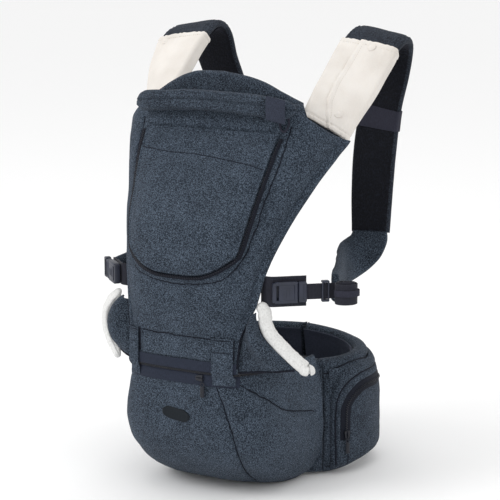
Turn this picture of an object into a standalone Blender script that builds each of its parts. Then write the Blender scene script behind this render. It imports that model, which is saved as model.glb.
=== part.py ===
import bpy
import bmesh
import math
import numpy as np
from mathutils import Vector

# Soft baby carrier with a foam hip seat, a closed waist belt, a zip-on front
# panel and two padded shoulder straps. Metres, +Z up, the front faces -Y.

for o in list(bpy.data.objects):
    bpy.data.objects.remove(o, do_unlink=True)

# driving dimensions
Y_SHIFT = 0.0257             # puts the origin under the middle of the bounding box
X_SHIFT = -0.0075
GAP = 0.0003
RING_A, RING_B, RING_YC = 0.143, 0.113, 0.040    # outer half axes of the waist ring
BELT_T = 0.020               # thickness of the padded belt
LINING_T = 0.0025
SEAT_TOP = 0.167
SEAT_YB = -0.0335            # where the seat wall meets the ring
WALL_T = 0.004
PANEL_T = 0.004
FOLD_Y, FOLD_Z = -0.2090, 0.1705     # zip line the front panel folds about
FLAP_Y, FLAP_Z = -0.1290, 0.4700     # top seam of the vent flap
HEAD_Y, HEAD_Z = -0.0880, 0.4985     # seam of the head support
TAB_O = (0.100, -0.180, 0.277)       # root of the side buckle straps
TAB_D = (0.7507, 0.6607)             # their run, outward and back
STRAP_T = 0.011              # padding of the shoulder strap
BUCKLE_W = 0.0270            # height of a side buckle


# ---------------------------------------------------------------- helpers
def herm(xs, ys, x):
    """smooth monotone curve through the points"""
    xs = np.asarray(xs, float)
    ys = np.asarray(ys, float)
    if x <= xs[0]:
        return float(ys[0])
    if x >= xs[-1]:
        return float(ys[-1])
    h = np.diff(xs)
    d = np.diff(ys) / h
    m = np.zeros(len(xs))
    m[0], m[-1] = d[0], d[-1]
    for k in range(1, len(xs) - 1):
        m[k] = 0.0 if d[k - 1] * d[k] <= 0 else 2 * d[k - 1] * d[k] / (d[k - 1] + d[k])
    i = int(np.searchsorted(xs, x)) - 1
    t = (x - xs[i]) / h[i]
    return float((2 * t**3 - 3 * t**2 + 1) * ys[i] + (t**3 - 2 * t**2 + t) * h[i] * m[i]
                 + (-2 * t**3 + 3 * t**2) * ys[i + 1] + (t**3 - t**2) * h[i] * m[i + 1])


def material(name, rgb, rough=0.9, metal=0.0):
    m = bpy.data.materials.new(name)
    m.use_nodes = True
    b = m.node_tree.nodes["Principled BSDF"]
    b.inputs["Base Color"].default_value = (rgb[0], rgb[1], rgb[2], 1.0)
    b.inputs["Roughness"].default_value = rough
    b.inputs["Metallic"].default_value = metal
    m.diffuse_color = (rgb[0], rgb[1], rgb[2], 1.0)
    return m


MATS = {
    "melange_fabric": ((0.045, 0.060, 0.082), 0.92),
    "dark_mesh": ((0.010, 0.011, 0.016), 0.85),
    "navy_lining": ((0.018, 0.021, 0.033), 0.85),
    "webbing": ((0.016, 0.017, 0.026), 0.75),
    "zip_tape": ((0.022, 0.027, 0.050), 0.75),
    "cream_cover": ((0.850, 0.810, 0.745), 0.90),
    "white_fleece": ((0.860, 0.855, 0.830), 1.00),
    "badge_rubber": ((0.006, 0.008, 0.011), 0.45),
    "buckle_plastic": ((0.022, 0.026, 0.045), 0.42),
    "zip_plastic": ((0.010, 0.012, 0.020), 0.40),
    "foam": ((0.350, 0.350, 0.340), 0.95),
}


def add(name, verts, faces, mat, pivot=(0.0, 0.0, 0.0), smooth=40):
    piv = Vector(pivot)
    me = bpy.data.meshes.new(name)
    me.from_pydata([tuple(Vector(v) - piv) for v in verts], [], faces)
    bm = bmesh.new()
    bm.from_mesh(me)
    bmesh.ops.remove_doubles(bm, verts=bm.verts, dist=1e-7)
    bmesh.ops.triangulate(bm, faces=bm.faces)
    bmesh.ops.recalc_face_normals(bm, faces=bm.faces)
    if bm.calc_volume(signed=True) < 0:
        bmesh.ops.reverse_faces(bm, faces=bm.faces)
    bm.to_mesh(me)
    bm.free()
    me.materials.append(bpy.data.materials.get(mat) or material(mat, *MATS[mat]))
    me.polygons.foreach_set("use_smooth", [True] * len(me.polygons))
    me.set_sharp_from_angle(angle=math.radians(smooth))
    o = bpy.data.objects.new(name, me)
    o.location = (piv.x + X_SHIFT, piv.y + Y_SHIFT, piv.z)
    bpy.context.scene.collection.objects.link(o)
    return o


def normals(P):
    du = np.gradient(P, axis=0)
    dv = np.gradient(P, axis=1)
    n = np.cross(du, dv)
    ln = np.linalg.norm(n, axis=2, keepdims=True)
    return n / np.maximum(ln, 1e-12)


def slab(name, P, a, b, mat, pivot=(0, 0, 0), N=None):
    """closed sheet between the offsets a and b of a grid of points"""
    P = np.asarray(P, float)
    if N is None:
        N = normals(P)
    nu, nv = P.shape[:2]
    A = P + N * (a if np.ndim(a) == 0 else np.asarray(a)[:, :, None])
    B = P + N * (b if np.ndim(b) == 0 else np.asarray(b)[:, :, None])
    verts = [tuple(p) for p in A.reshape(-1, 3)] + [tuple(p) for p in B.reshape(-1, 3)]
    k = nu * nv
    f = []
    for i in range(nu - 1):
        for j in range(nv - 1):
            q = (i * nv + j, (i + 1) * nv + j, (i + 1) * nv + j + 1, i * nv + j + 1)
            f.append(q)
            f.append(tuple(v + k for v in reversed(q)))
    edge = ([(i, 0) for i in range(nu)] + [(nu - 1, j) for j in range(1, nv)]
            + [(i, nv - 1) for i in range(nu - 2, -1, -1)] + [(0, j) for j in range(nv - 2, 0, -1)])
    for m in range(len(edge)):
        p = edge[m][0] * nv + edge[m][1]
        q = edge[(m + 1) % len(edge)][0] * nv + edge[(m + 1) % len(edge)][1]
        f.append((p, p + k, q + k, q))
    return add(name, verts, f, mat, pivot)


def loft(name, rings, mat, pivot=(0, 0, 0), closed=False, smooth=40):
    """skin over rings of equal length, capped at both ends unless closed"""
    n = len(rings[0])
    verts = [tuple(p) for r in rings for p in r]
    f = []
    m = len(rings)
    for i in range(m if closed else m - 1):
        a, b = i * n, ((i + 1) % m) * n
        for j in range(n):
            f.append((a + j, a + (j + 1) % n, b + (j + 1) % n, b + j))
    if not closed:
        f.append(tuple(range(n)))
        f.append(tuple((m - 1) * n + j for j in range(n - 1, -1, -1)))
    return add(name, verts, f, mat, pivot, smooth)


def rrect(w, h, r, n=2, cx=0.0, cy=0.0):
    """rounded rectangle, w by h"""
    out = []
    for qx, qy, a0 in ((1, 1, 0), (-1, 1, 90), (-1, -1, 180), (1, -1, 270)):
        for k in range(n + 1):
            a = math.radians(a0 + 90.0 * k / n)
            out.append((cx + qx * (w / 2 - r) + r * math.cos(a), cy + qy * (h / 2 - r) + r * math.sin(a)))
    return out


def spline(pts, per=4):
    """Catmull-Rom through rows of numbers"""
    pts = [np.asarray(p, float) for p in pts]
    out = []
    for i in range(len(pts) - 1):
        p0 = pts[i - 1] if i else 2 * pts[0] - pts[1]
        p1, p2 = pts[i], pts[i + 1]
        p3 = pts[i + 2] if i + 2 < len(pts) else 2 * pts[-1] - pts[-2]
        for k in range(per):
            t = k / per
            out.append(0.5 * (2 * p1 + (p2 - p0) * t + (2 * p0 - 5 * p1 + 4 * p2 - p3) * t * t
                              + (3 * p1 - p0 - 3 * p2 + p3) * t**3))
    out.append(pts[-1])
    return np.array(out)


def frames(C, Wd):
    T = np.gradient(C, axis=0)
    T /= np.linalg.norm(T, axis=1, keepdims=True)
    W = Wd - T * np.sum(Wd * T, axis=1, keepdims=True)
    W /= np.linalg.norm(W, axis=1, keepdims=True)
    return T, W, np.cross(W, T)          # third one points to the outer side


def sweep_rings(C, W, N, widths, t0, t1, r=None, n=2, grow=0.0):
    rings = []
    for c, w, nn, wd in zip(C, W, N, widths):
        h = t1 - t0
        rr = min(h, wd) * 0.42 if r is None else r
        rings.append([c + w * x + nn * y for x, y in rrect(wd + 2 * grow, h, rr, n, 0.0, (t0 + t1) / 2)])
    return rings


def box_at(name, c, ux, uy, uz, lx, ly, lz, mat, r=0.001, pivot=(0, 0, 0)):
    """rounded bar: section lx by ly, run lz along uz"""
    c, ux, uy, uz = (np.asarray(v, float) for v in (c, ux, uy, uz))
    sec = rrect(lx, ly, r, 2)
    rings = [[c + ux * x + uy * y + uz * s for x, y in sec] for s in (-lz / 2, lz / 2)]
    return loft(name, rings, mat, pivot)


# ---------------------------------------------------------------- waist ring
def ring_pt(a, z, off=0.0):
    """a: angle from the front, degrees, + to the right; the top of the ring leans in"""
    off = off - 0.011 * max(0.0, min(1.0, (z - 0.095) / 0.065)) ** 1.4
    s, c = math.sin(math.radians(a)), math.cos(math.radians(a))
    nx, ny = RING_B * s, -RING_A * c
    ln = math.hypot(nx, ny)
    return np.array([RING_A * s + off * nx / ln, RING_YC - RING_B * c + off * ny / ln, z])


def belt_top(a):
    return herm([0, 50, 100, 140, 180], [0.156, 0.156, 0.158, 0.161, 0.164], abs(a))


def belt_bot(a):
    return herm([0, 55, 95, 180], [0.003, 0.003, 0.013, 0.017], abs(a))


def belt(name, a0, a1, n, o0, o1, mat, inset=0.0, r=None):
    rings = []
    for k in range(n + 1):
        a = a0 + (a1 - a0) * k / n
        zt, zb = belt_top(a) - inset, belt_bot(a) + inset
        h = o1 - o0
        rings.append([ring_pt(a, y, x) for x, y in
                      rrect(h, zt - zb, h * 0.42 if r is None else r, 2, (o0 + o1) / 2, (zt + zb) / 2)])
    return loft(name, rings, mat)


belt("waist_belt_right", 52.3, 179.3, 16, -BELT_T, 0.0, "melange_fabric")
belt("waist_belt_left", -52.3, -179.3, 16, -BELT_T, 0.0, "melange_fabric")
belt("belly_pad", -51.7, 51.7, 12, -BELT_T, 0.0, "melange_fabric")
belt("belt_lining_right", 0.4, 178.8, 18, -BELT_T - GAP - LINING_T, -BELT_T - GAP, "navy_lining", 0.006, 0.001)
belt("belt_lining_left", -0.4, -178.8, 18, -BELT_T - GAP - LINING_T, -BELT_T - GAP, "navy_lining", 0.006, 0.001)

# pocket on the right wing
PA0, PA1 = 57.0, 138.0
rows = []
off = []
for i in range(15):
    a = PA0 + (PA1 - PA0) * i / 14
    zt, zb = belt_top(a) - 0.012, belt_bot(a) + 0.006
    rows.append([ring_pt(a, zb + (zt - zb) * j / 8) for j in range(9)])
    off.append([0.0012 + 0.0068 * min(1.0, 4.0 * math.sin(math.pi * i / 14)) ** 0.7
                * min(1.0, 2.4 * math.sin(math.pi * j / 8)) ** 0.7 for j in range(9)])
P = np.array(rows)
NR = np.array([[(ring_pt(PA0 + (PA1 - PA0) * i / 14, 0, 1.0) - ring_pt(PA0 + (PA1 - PA0) * i / 14, 0, 0.0))
                for j in range(9)] for i in range(15)])
slab("pocket_body", P, GAP, np.array(off), "melange_fabric", N=NR)

ZIP_PATH = spline([(114, 0.116), (97, 0.1175), (84, 0.117), (74, 0.109), (67.5, 0.094), (66, 0.072), (66, 0.050)], 3)


def ring_strip(name, path, half, o0, o1, mat):
    path = np.asarray(path, float)
    k = math.radians(1.0) * 0.13
    xy = np.column_stack([path[:, 0] * k, path[:, 1]])
    t = np.gradient(xy, axis=0)
    t /= np.linalg.norm(t, axis=1, keepdims=True)
    nn = np.column_stack([-t[:, 1], t[:, 0]])
    rows, nrm = [], []
    for q, m in zip(xy, nn):
        row, nr = [], []
        for s in (-1, 0, 1):
            p = q + m * half * s
            a = p[0] / k
            row.append(ring_pt(a, p[1]))
            nr.append(ring_pt(a, 0, 1.0) - ring_pt(a, 0, 0.0))
        rows.append(row)
        nrm.append(nr)
    return slab(name, rows, o0, o1, mat, N=np.array(nrm))


ring_strip("pocket_zip_tape", ZIP_PATH, 0.0060, 0.0083, 0.0095, "zip_tape")
# slider on the straight lower run of the pocket zip, its pull hangs from it
pa = 66.0
pn = ring_pt(pa, 0, 1.0) - ring_pt(pa, 0, 0.0)
pt = np.array([-pn[1], pn[0], 0.0])
PZ = 0.056
box_at("pocket_slider", ring_pt(pa, PZ, 0.0112), pt, pn, (0, 0, 1), 0.0080, 0.0028, 0.0100, "zip_plastic", 0.0009,
       pivot=tuple(ring_pt(pa, PZ, 0.0112)))
PPIV = ring_pt(pa, PZ - 0.0056, 0.0127)
box_at("pocket_pull", PPIV + np.array([0, 0, -0.0105]), pt, pn, (0, 0, 1), 0.0060, 0.0022, 0.0200, "zip_plastic", 0.0008,
       pivot=tuple(PPIV))


# ---------------------------------------------------------------- hip seat
SZ = [0.0015, 0.010, 0.025, 0.045, 0.070, 0.100, 0.135, 0.169]
SW = [0.0900, 0.1000, 0.1080, 0.1130, 0.1150, 0.1140, 0.1110, 0.1050]
SF = [-0.1100, -0.1330, -0.1600, -0.1830, -0.1990, -0.2060, -0.2060, -0.2030]
SN = [2.6, 2.8, 3.0, 3.4, 3.8, 4.0, 4.0, 4.2]


def ring_y(x):
    return RING_YC - RING_B * math.sqrt(1 - (x / RING_A) ** 2)


def seat_yb(z):
    return min(SEAT_YB, ring_y(herm(SZ, SW, z) - WALL_T) - 0.0025)


def seat_pt(u, z, inset=0.0, back=0.0):
    """u 0..1 runs from the right end round the front to the left end"""
    w = herm(SZ, SW, z) - inset
    yb = seat_yb(z) if back == 0 else min(seat_yb(z), ring_y(w)) - back
    ln = (yb - herm(SZ, SF, z)) - inset
    n = herm(SZ, SN, z)
    a = math.pi * u
    c, s = math.cos(a), math.sin(a)
    return np.array([math.copysign(abs(c) ** (2 / n), c) * w, yb - ln * max(s, 0.0) ** (2 / n), z])


def even(f, n, fine=400):
    """n+1 values of u that step evenly along the curve"""
    us = np.linspace(0, 1, fine + 1)
    p = np.array([f(u) for u in us])
    d = np.concatenate([[0], np.cumsum(np.linalg.norm(np.diff(p, axis=0), axis=1))])
    return np.interp(np.linspace(0, d[-1], n + 1), d, us)


NU = 28
levels = [0.0015, 0.005, 0.012, 0.025, 0.045, 0.070, 0.100, 0.135, 0.169]
US = {z: even(lambda u, z=z: seat_pt(u, z), NU) for z in levels}
P = np.array([[seat_pt(US[z][i], z) for z in levels] for i in range(NU + 1)])
N = normals(P)
if N[NU // 2, 5][1] > 0:
    N = -N
slab("hip_seat_cover", P, -WALL_T, 0.0, "melange_fabric", N=N)


def seat_ring(z, inset, nb=10):
    us = even(lambda u: seat_pt(u, z, inset, 0.0035), 20)
    pts = [seat_pt(u, z, inset, 0.0035) for u in us]
    wl, yl = abs(pts[0][0]), pts[0][1]
    for k in range(1, nb):
        x = -wl + 2 * wl * k / nb
        pts.append(np.array([x, min(ring_y(x) - 0.0034, yl - 0.0004), z]))
    return pts


def flat(pts, z):
    return [np.array([p[0], p[1], z]) for p in pts]


core = [flat(seat_ring(z, ins), zz) for z, zz, ins in
        ((0.012, 0.0115, 0.0170), (0.025, 0.025, 0.0115), (0.045, 0.045, 0.0078), (0.070, 0.070, 0.0062),
         (0.100, 0.100, 0.0055), (0.130, 0.130, 0.0055), (0.156, 0.156, 0.0055))]
loft("hip_seat_foam_core", core, "foam", smooth=50)
topr = seat_ring(0.162, 0.0052)
loft("seat_top_pad", [flat(topr, 0.1564), flat(topr, SEAT_TOP)], "dark_mesh")
base = seat_ring(0.0015, 0.0060)
loft("hip_seat_base", [flat(base, 0.0), flat(base, 0.0042)], "navy_lining")


def seat_front(x, z):
    w = herm(SZ, SW, z)
    yb = seat_yb(z)
    ln = yb - herm(SZ, SF, z)
    n = herm(SZ, SN, z)
    return (x, yb - ln * (1 - abs(x / w) ** n) ** (1 / n), z)


# plain badge patch on the front face
bz, bx = 0.1120, -0.0060
rows = []
for i in range(9):
    t = -1 + 2 * i / 8
    row = []
    for j in range(5):
        s = -1 + 2 * j / 4
        hw = 0.0085 * (1 - abs(t) ** 3 * 0.35)
        x, z = bx + t * 0.0205 + s * hw * 0.12, bz - t * 0.0030 + s * hw
        row.append(seat_front(x, z))
    rows.append(row)
P = np.array(rows)
N = normals(P)
if N[4, 2][1] > 0:
    N = -N
slab("front_badge", P, GAP, 0.0020, "badge_rubber", N=N)


def patch(name, f, xs, zs, o0, o1, mat, pivot=(0, 0, 0)):
    P = np.array([[f(x, z) for z in zs] for x in xs])
    N = normals(P)
    if N[len(xs) // 2, len(zs) // 2][1] > 0:
        N = -N
    return slab(name, P, o0, o1, mat, pivot, N)


patch("lower_zip_tape", seat_front, np.linspace(-0.086, 0.086, 17), [0.1550, 0.1620, 0.1690], 0.0007, 0.0019, "zip_tape")
SLX = 0.030
box_at("front_zip_slider", (SLX, seat_front(SLX, 0.1645)[1] - 0.0041, 0.1645), (0, 0, 1), (0, 1, 0), (1, 0, 0),
       0.0085, 0.0028, 0.0100, "zip_plastic", 0.0009, pivot=(SLX, seat_front(SLX, 0.1645)[1] - 0.0041, 0.1645))
FPIV = (SLX + 0.0054, seat_front(SLX, 0.1645)[1] - 0.0053, 0.1645)
box_at("front_zip_pull", (SLX + 0.0054, FPIV[1], 0.1645 - 0.0145), (1, 0, 0), (0, 1, 0), (0, 0, 1),
       0.0060, 0.0022, 0.0200, "zip_plastic", 0.0008, pivot=(FPIV[0], FPIV[1], 0.1645 - 0.0045))


# ---------------------------------------------------------------- front panel
WZ = [0.165, 0.215, 0.240, 0.257, 0.294, 0.3466, 0.405, 0.440, 0.457, 0.520]
WW = [0.0800, 0.0830, 0.0905, 0.0965, 0.1035, 0.1185, 0.1405, 0.1545, 0.1610, 0.1680]
WE = [-0.1990, -0.1950, -0.1860, -0.1780, -0.1686, -0.1420, -0.1000, -0.0670, -0.0500, -0.0200]
CZ = [0.165, 0.250, 0.300, 0.340, 0.390, 0.440, 0.468, 0.500, 0.520]
CY = [-0.2060, -0.2100, -0.2120, -0.2080, -0.1835, -0.1460, -0.1250, -0.1140, -0.1100]
EZ = [0.165, 0.390, 0.468, 0.520]
EN = [3.4, 3.6, 6.3, 6.3]


def panel_y(x, z):
    w, ye, yc, n = herm(WZ, WW, z), herm(WZ, WE, z), herm(CZ, CY, z), herm(EZ, EN, z)
    return ye - (ye - yc) * (1 - min(1.0, abs(x / w)) ** n)


def panel_pt(x, z):
    return (x, panel_y(x, z), z)


def top_z(x):
    return herm([0, 0.106, 0.117, 0.161], [0.499, 0.499, 0.495, 0.457], abs(x))


PB = 0.1730
NX, NZ = 20, 14
rows = []
for i in range(NX + 1):
    s = -1 + 2 * i / NX
    s = math.copysign(abs(s) ** 0.85, s)
    zt = top_z(s * 0.161)
    row = []
    for j in range(NZ + 1):
        t = j / NZ
        x = s * herm(WZ, WW, PB + (0.457 - PB) * t)
        row.append(panel_pt(x, PB + (zt - PB) * t))
    rows.append(row)
PANEL = np.array(rows)
PN = normals(PANEL)
if PN[NX // 2, NZ // 2][1] > 0:
    PN = -PN
slab("front_panel", PANEL, -PANEL_T, 0.0, "melange_fabric", (0, FOLD_Y, FOLD_Z), PN)
LG = np.array([[PANEL[i, j] for j in range(NZ + 1)] for i in range(NX + 1)])
slab("panel_lining", LG, -PANEL_T - GAP - 0.0020, -PANEL_T - GAP, "dark_mesh", N=PN)
patch("upper_zip_tape", panel_pt, np.linspace(-0.079, 0.079, 17), [0.1732, 0.1800, 0.1865], GAP, 0.0016, "zip_tape")

# vent flap, a mesh window behind it and the zip tape round it
FZ = [0.297, 0.307, 0.328, 0.360, 0.390, 0.430, 0.468]
FW = [0.0630, 0.0690, 0.0778, 0.0840, 0.0875, 0.0930, 0.0980]


def flap_grid(inset, top, nx=12, nz=12):
    rows = []
    for i in range(nx + 1):
        s = -1 + 2 * i / nx
        zb = 0.2970 + inset + 0.026 * abs(s) ** 4
        row = []
        for j in range(nz + 1):
            z = zb + (top - zb) * j / nz
            row.append(panel_pt(s * (herm(FZ, FW, z) - inset), z))
        rows.append(row)
    return np.array(rows)


G = flap_grid(0.0, 0.4685)
N = normals(G)
if N[6, 6][1] > 0:
    N = -N
slab("vent_flap", G, 0.0026, 0.0046, "melange_fabric", (0, FLAP_Y, FLAP_Z), N)
G = flap_grid(0.006, 0.4500, 8, 8)
N = normals(G)
if N[4, 4][1] > 0:
    N = -N
slab("vent_mesh", G, 0.0013, 0.0020, "dark_mesh", N=N)


def panel_strip(name, path, half, o0, o1, mat, cols=3):
    path = np.asarray(path, float)
    t = np.gradient(path, axis=0)
    t /= np.linalg.norm(t, axis=1, keepdims=True)
    nn = np.column_stack([-t[:, 1], t[:, 0]])
    rows = [[panel_pt(*(q + m * half * s)) for s in np.linspace(-1, 1, cols)] for q, m in zip(path, nn)]
    P = np.array(rows)
    N = normals(P)
    if N[len(P) // 2, 1][1] > 0:
        N = -N
    return slab(name, P, o0, o1, mat, N=N)


u = [(herm(FZ, FW, z), z) for z in np.linspace(0.4635, 0.335, 9)]
for k in range(8, 0, -1):
    q = 0.297 + 0.026 * (k / 8.0) ** 4
    u.append((k / 8.0 * herm(FZ, FW, q), q))
u += [(0.0, 0.297)] + [(-x, z) for x, z in reversed(u)]
u = np.array(u)
t = np.gradient(u, axis=0)
t /= np.linalg.norm(t, axis=1, keepdims=True)
u = u + np.column_stack([-t[:, 1], t[:, 0]]) * 0.0042
panel_strip("flap_zip_tape", u, 0.0030, 0.0014, 0.0038, "zip_tape")

# rolled hood along the top edge, its tab and elastic loop
C = spline([(-0.1170, -0.1145, 0.5000), (-0.0850, -0.1285, 0.5050), (-0.0400, -0.1310, 0.5085), (0.0, -0.1320, 0.5095),
            (0.0400, -0.1310, 0.5085), (0.0850, -0.1285, 0.5050), (0.1170, -0.1145, 0.5000)], 2)
T, W, Nn = frames(C, np.tile([0, 0, 1.0], (len(C), 1)))
sc = [0.55] + [1.0] * (len(C) - 2) + [0.55]
rings = [[c + w * x * k + n * y * k for x, y in rrect(0.0210, 0.0170, 0.0078, 2)] for c, w, n, k in zip(C, W, Nn, sc)]
loft("rolled_hood", rings, "melange_fabric")
xs = np.linspace(0.091, 0.108, 4)
rings = []
for x in xs:
    y0 = float(np.interp(x, C[:, 0], C[:, 1]))
    z0 = float(np.interp(x, C[:, 0], C[:, 2]))
    rings.append([(x, y0 - 0.0136, z0 - 0.0125), (x, y0 - 0.0136, z0 + 0.0128), (x, y0 - 0.0122, z0 + 0.0128),
                  (x, y0 - 0.0122, z0 - 0.0125)])
loft("hood_tab", rings, "webbing")
panel_strip("hood_elastic_loop", [(0.100, 0.4900), (0.103, 0.4820), (0.105, 0.4730)], 0.0018, 0.0010, 0.0030, "webbing", 2)

# head support pad behind the hood
rows, th = [], []
for i in range(21):
    x = -0.112 + 0.224 * i / 20
    zt = herm([0, 0.035, 0.056, 0.080, 0.100, 0.112], [0.542, 0.541, 0.536, 0.525, 0.513, 0.5060], abs(x))
    zt -= 0.0045 * min(1.0, max(0.0, x / 0.04)) * min(1.0, (0.112 - x) / 0.03)
    rows.append([(x, HEAD_Y - 0.004 + 0.10 * (zt - HEAD_Z) * j / 6 * -1 + 0.45 * x * x, HEAD_Z + (zt - HEAD_Z) * j / 6)
                 for j in range(7)])
    th.append([0.0075 * (0.55 + 0.45 * math.sin(math.pi * min(1, max(0, (j + 0.8) / 7.6)))) for j in range(7)])
P = np.array(rows)
th = np.array(th)
slab("head_support", P, -th, th, "melange_fabric", (0, HEAD_Y, HEAD_Z), normals(P))


# ---------------------------------------------------------------- both sides
def mir(p, s):
    p = np.array(p, float)
    p[..., 0] *= s
    return p


D3 = np.array([TAB_D[0], TAB_D[1], 0.0])
N3 = np.array([TAB_D[1], -TAB_D[0], 0.0])
Z3 = np.array([0.0, 0.0, 1.0])
O3 = np.array(TAB_O)


def bar(sec_list, s):
    """rings from (run, n centre, n size, z size, corner radius) across the side strap"""
    rings = []
    for run, nc, nsz, zsz, r in sec_list:
        rings.append(mir([O3 + D3 * run + N3 * (nc + x) + Z3 * y for x, y in rrect(nsz, zsz, r, 2)], s))
    return rings


STRAP = [  # centre, width direction, width
    (0.1180, -0.0640, 0.4500, 0.66, 0.75, -0.10, 0.060),
    (0.1235, -0.0330, 0.4840, 0.76, 0.62, -0.14, 0.066),
    (0.1290, 0.0000, 0.5160, 0.90, 0.35, -0.17, 0.072),
    (0.1340, 0.0340, 0.5480, 0.97, 0.15, -0.17, 0.077),
    (0.1360, 0.0620, 0.5700, 0.98, 0.00, -0.17, 0.079),
    (0.1360, 0.0900, 0.5780, 0.98, 0.00, -0.17, 0.078),
    (0.1330, 0.1130, 0.5660, 0.98, 0.00, -0.16, 0.072),
    (0.1270, 0.1260, 0.5310, 0.99, 0.00, -0.10, 0.062),
    (0.1140, 0.1290, 0.4800, 1.00, 0.00, -0.04, 0.062),
    (0.1080, 0.1250, 0.4200, 1.00, 0.00, 0.00, 0.064),
    (0.1080, 0.1180, 0.3650, 1.00, 0.00, 0.00, 0.062),
    (0.1110, 0.1090, 0.3090, 1.00, 0.00, 0.05, 0.057),
]
LEAN = {"right": [0.0] * 12,
        "left": [0.003, 0.008, 0.013, 0.015, 0.015, 0.015, 0.015, 0.014, 0.011, 0.007, 0.003, 0.0]}
GUARD_H = {"right": 0.0390, "left": 0.0290}
WING = {
    "right": [
        (0.1110, 0.1088, 0.3030, 1.00, 0.00, 0.05, 0.054),
        (0.1100, 0.1078, 0.2975, 0.99, 0.00, -0.10, 0.054),
        (0.1068, 0.1030, 0.2893, 0.90, -0.05, -0.42, 0.054),
        (0.1016, 0.0900, 0.2810, 0.68, -0.05, -0.72, 0.053),
        (0.1005, 0.0660, 0.2750, 0.40, 0.00, -0.92, 0.052),
        (0.1097, 0.0300, 0.2735, 0.15, 0.00, -1.00, 0.050),
        (0.1288, -0.0150, 0.2750, 0.00, 0.00, -1.00, 0.047),
        (0.1501, -0.0620, 0.2765, 0.00, 0.00, -1.00, 0.042),
        (0.1715, -0.1090, 0.2780, 0.00, 0.00, -1.00, 0.036),
    ],
    "left": [
        (0.1110, 0.1088, 0.3030, 1.00, 0.00, 0.05, 0.054),
        (0.1114, 0.1074, 0.2975, 0.98, 0.00, 0.15, 0.053),
        (0.1180, 0.1035, 0.2880, 0.85, 0.00, 0.50, 0.052),
        (0.1330, 0.0870, 0.2810, 0.50, 0.00, 0.86, 0.049),
        (0.1430, 0.0600, 0.2790, 0.20, 0.00, 0.98, 0.046),
        (0.1490, 0.0150, 0.2780, 0.00, 0.00, 1.00, 0.042),
        (0.1500, -0.0400, 0.2770, 0.00, 0.00, 1.00, 0.038),
        (0.1510, -0.0880, 0.2750, 0.00, 0.00, 1.00, 0.032),
        (0.1545, -0.1220, 0.2740, 0.00, 0.00, 1.00, 0.026),
    ],
}
LOCK_RUN = {"right": 0.0800, "left": 0.0650}     # where the ladder lock sits along the side strap
WEB_END = {"right": 0.1060, "left": 0.0860}

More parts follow.
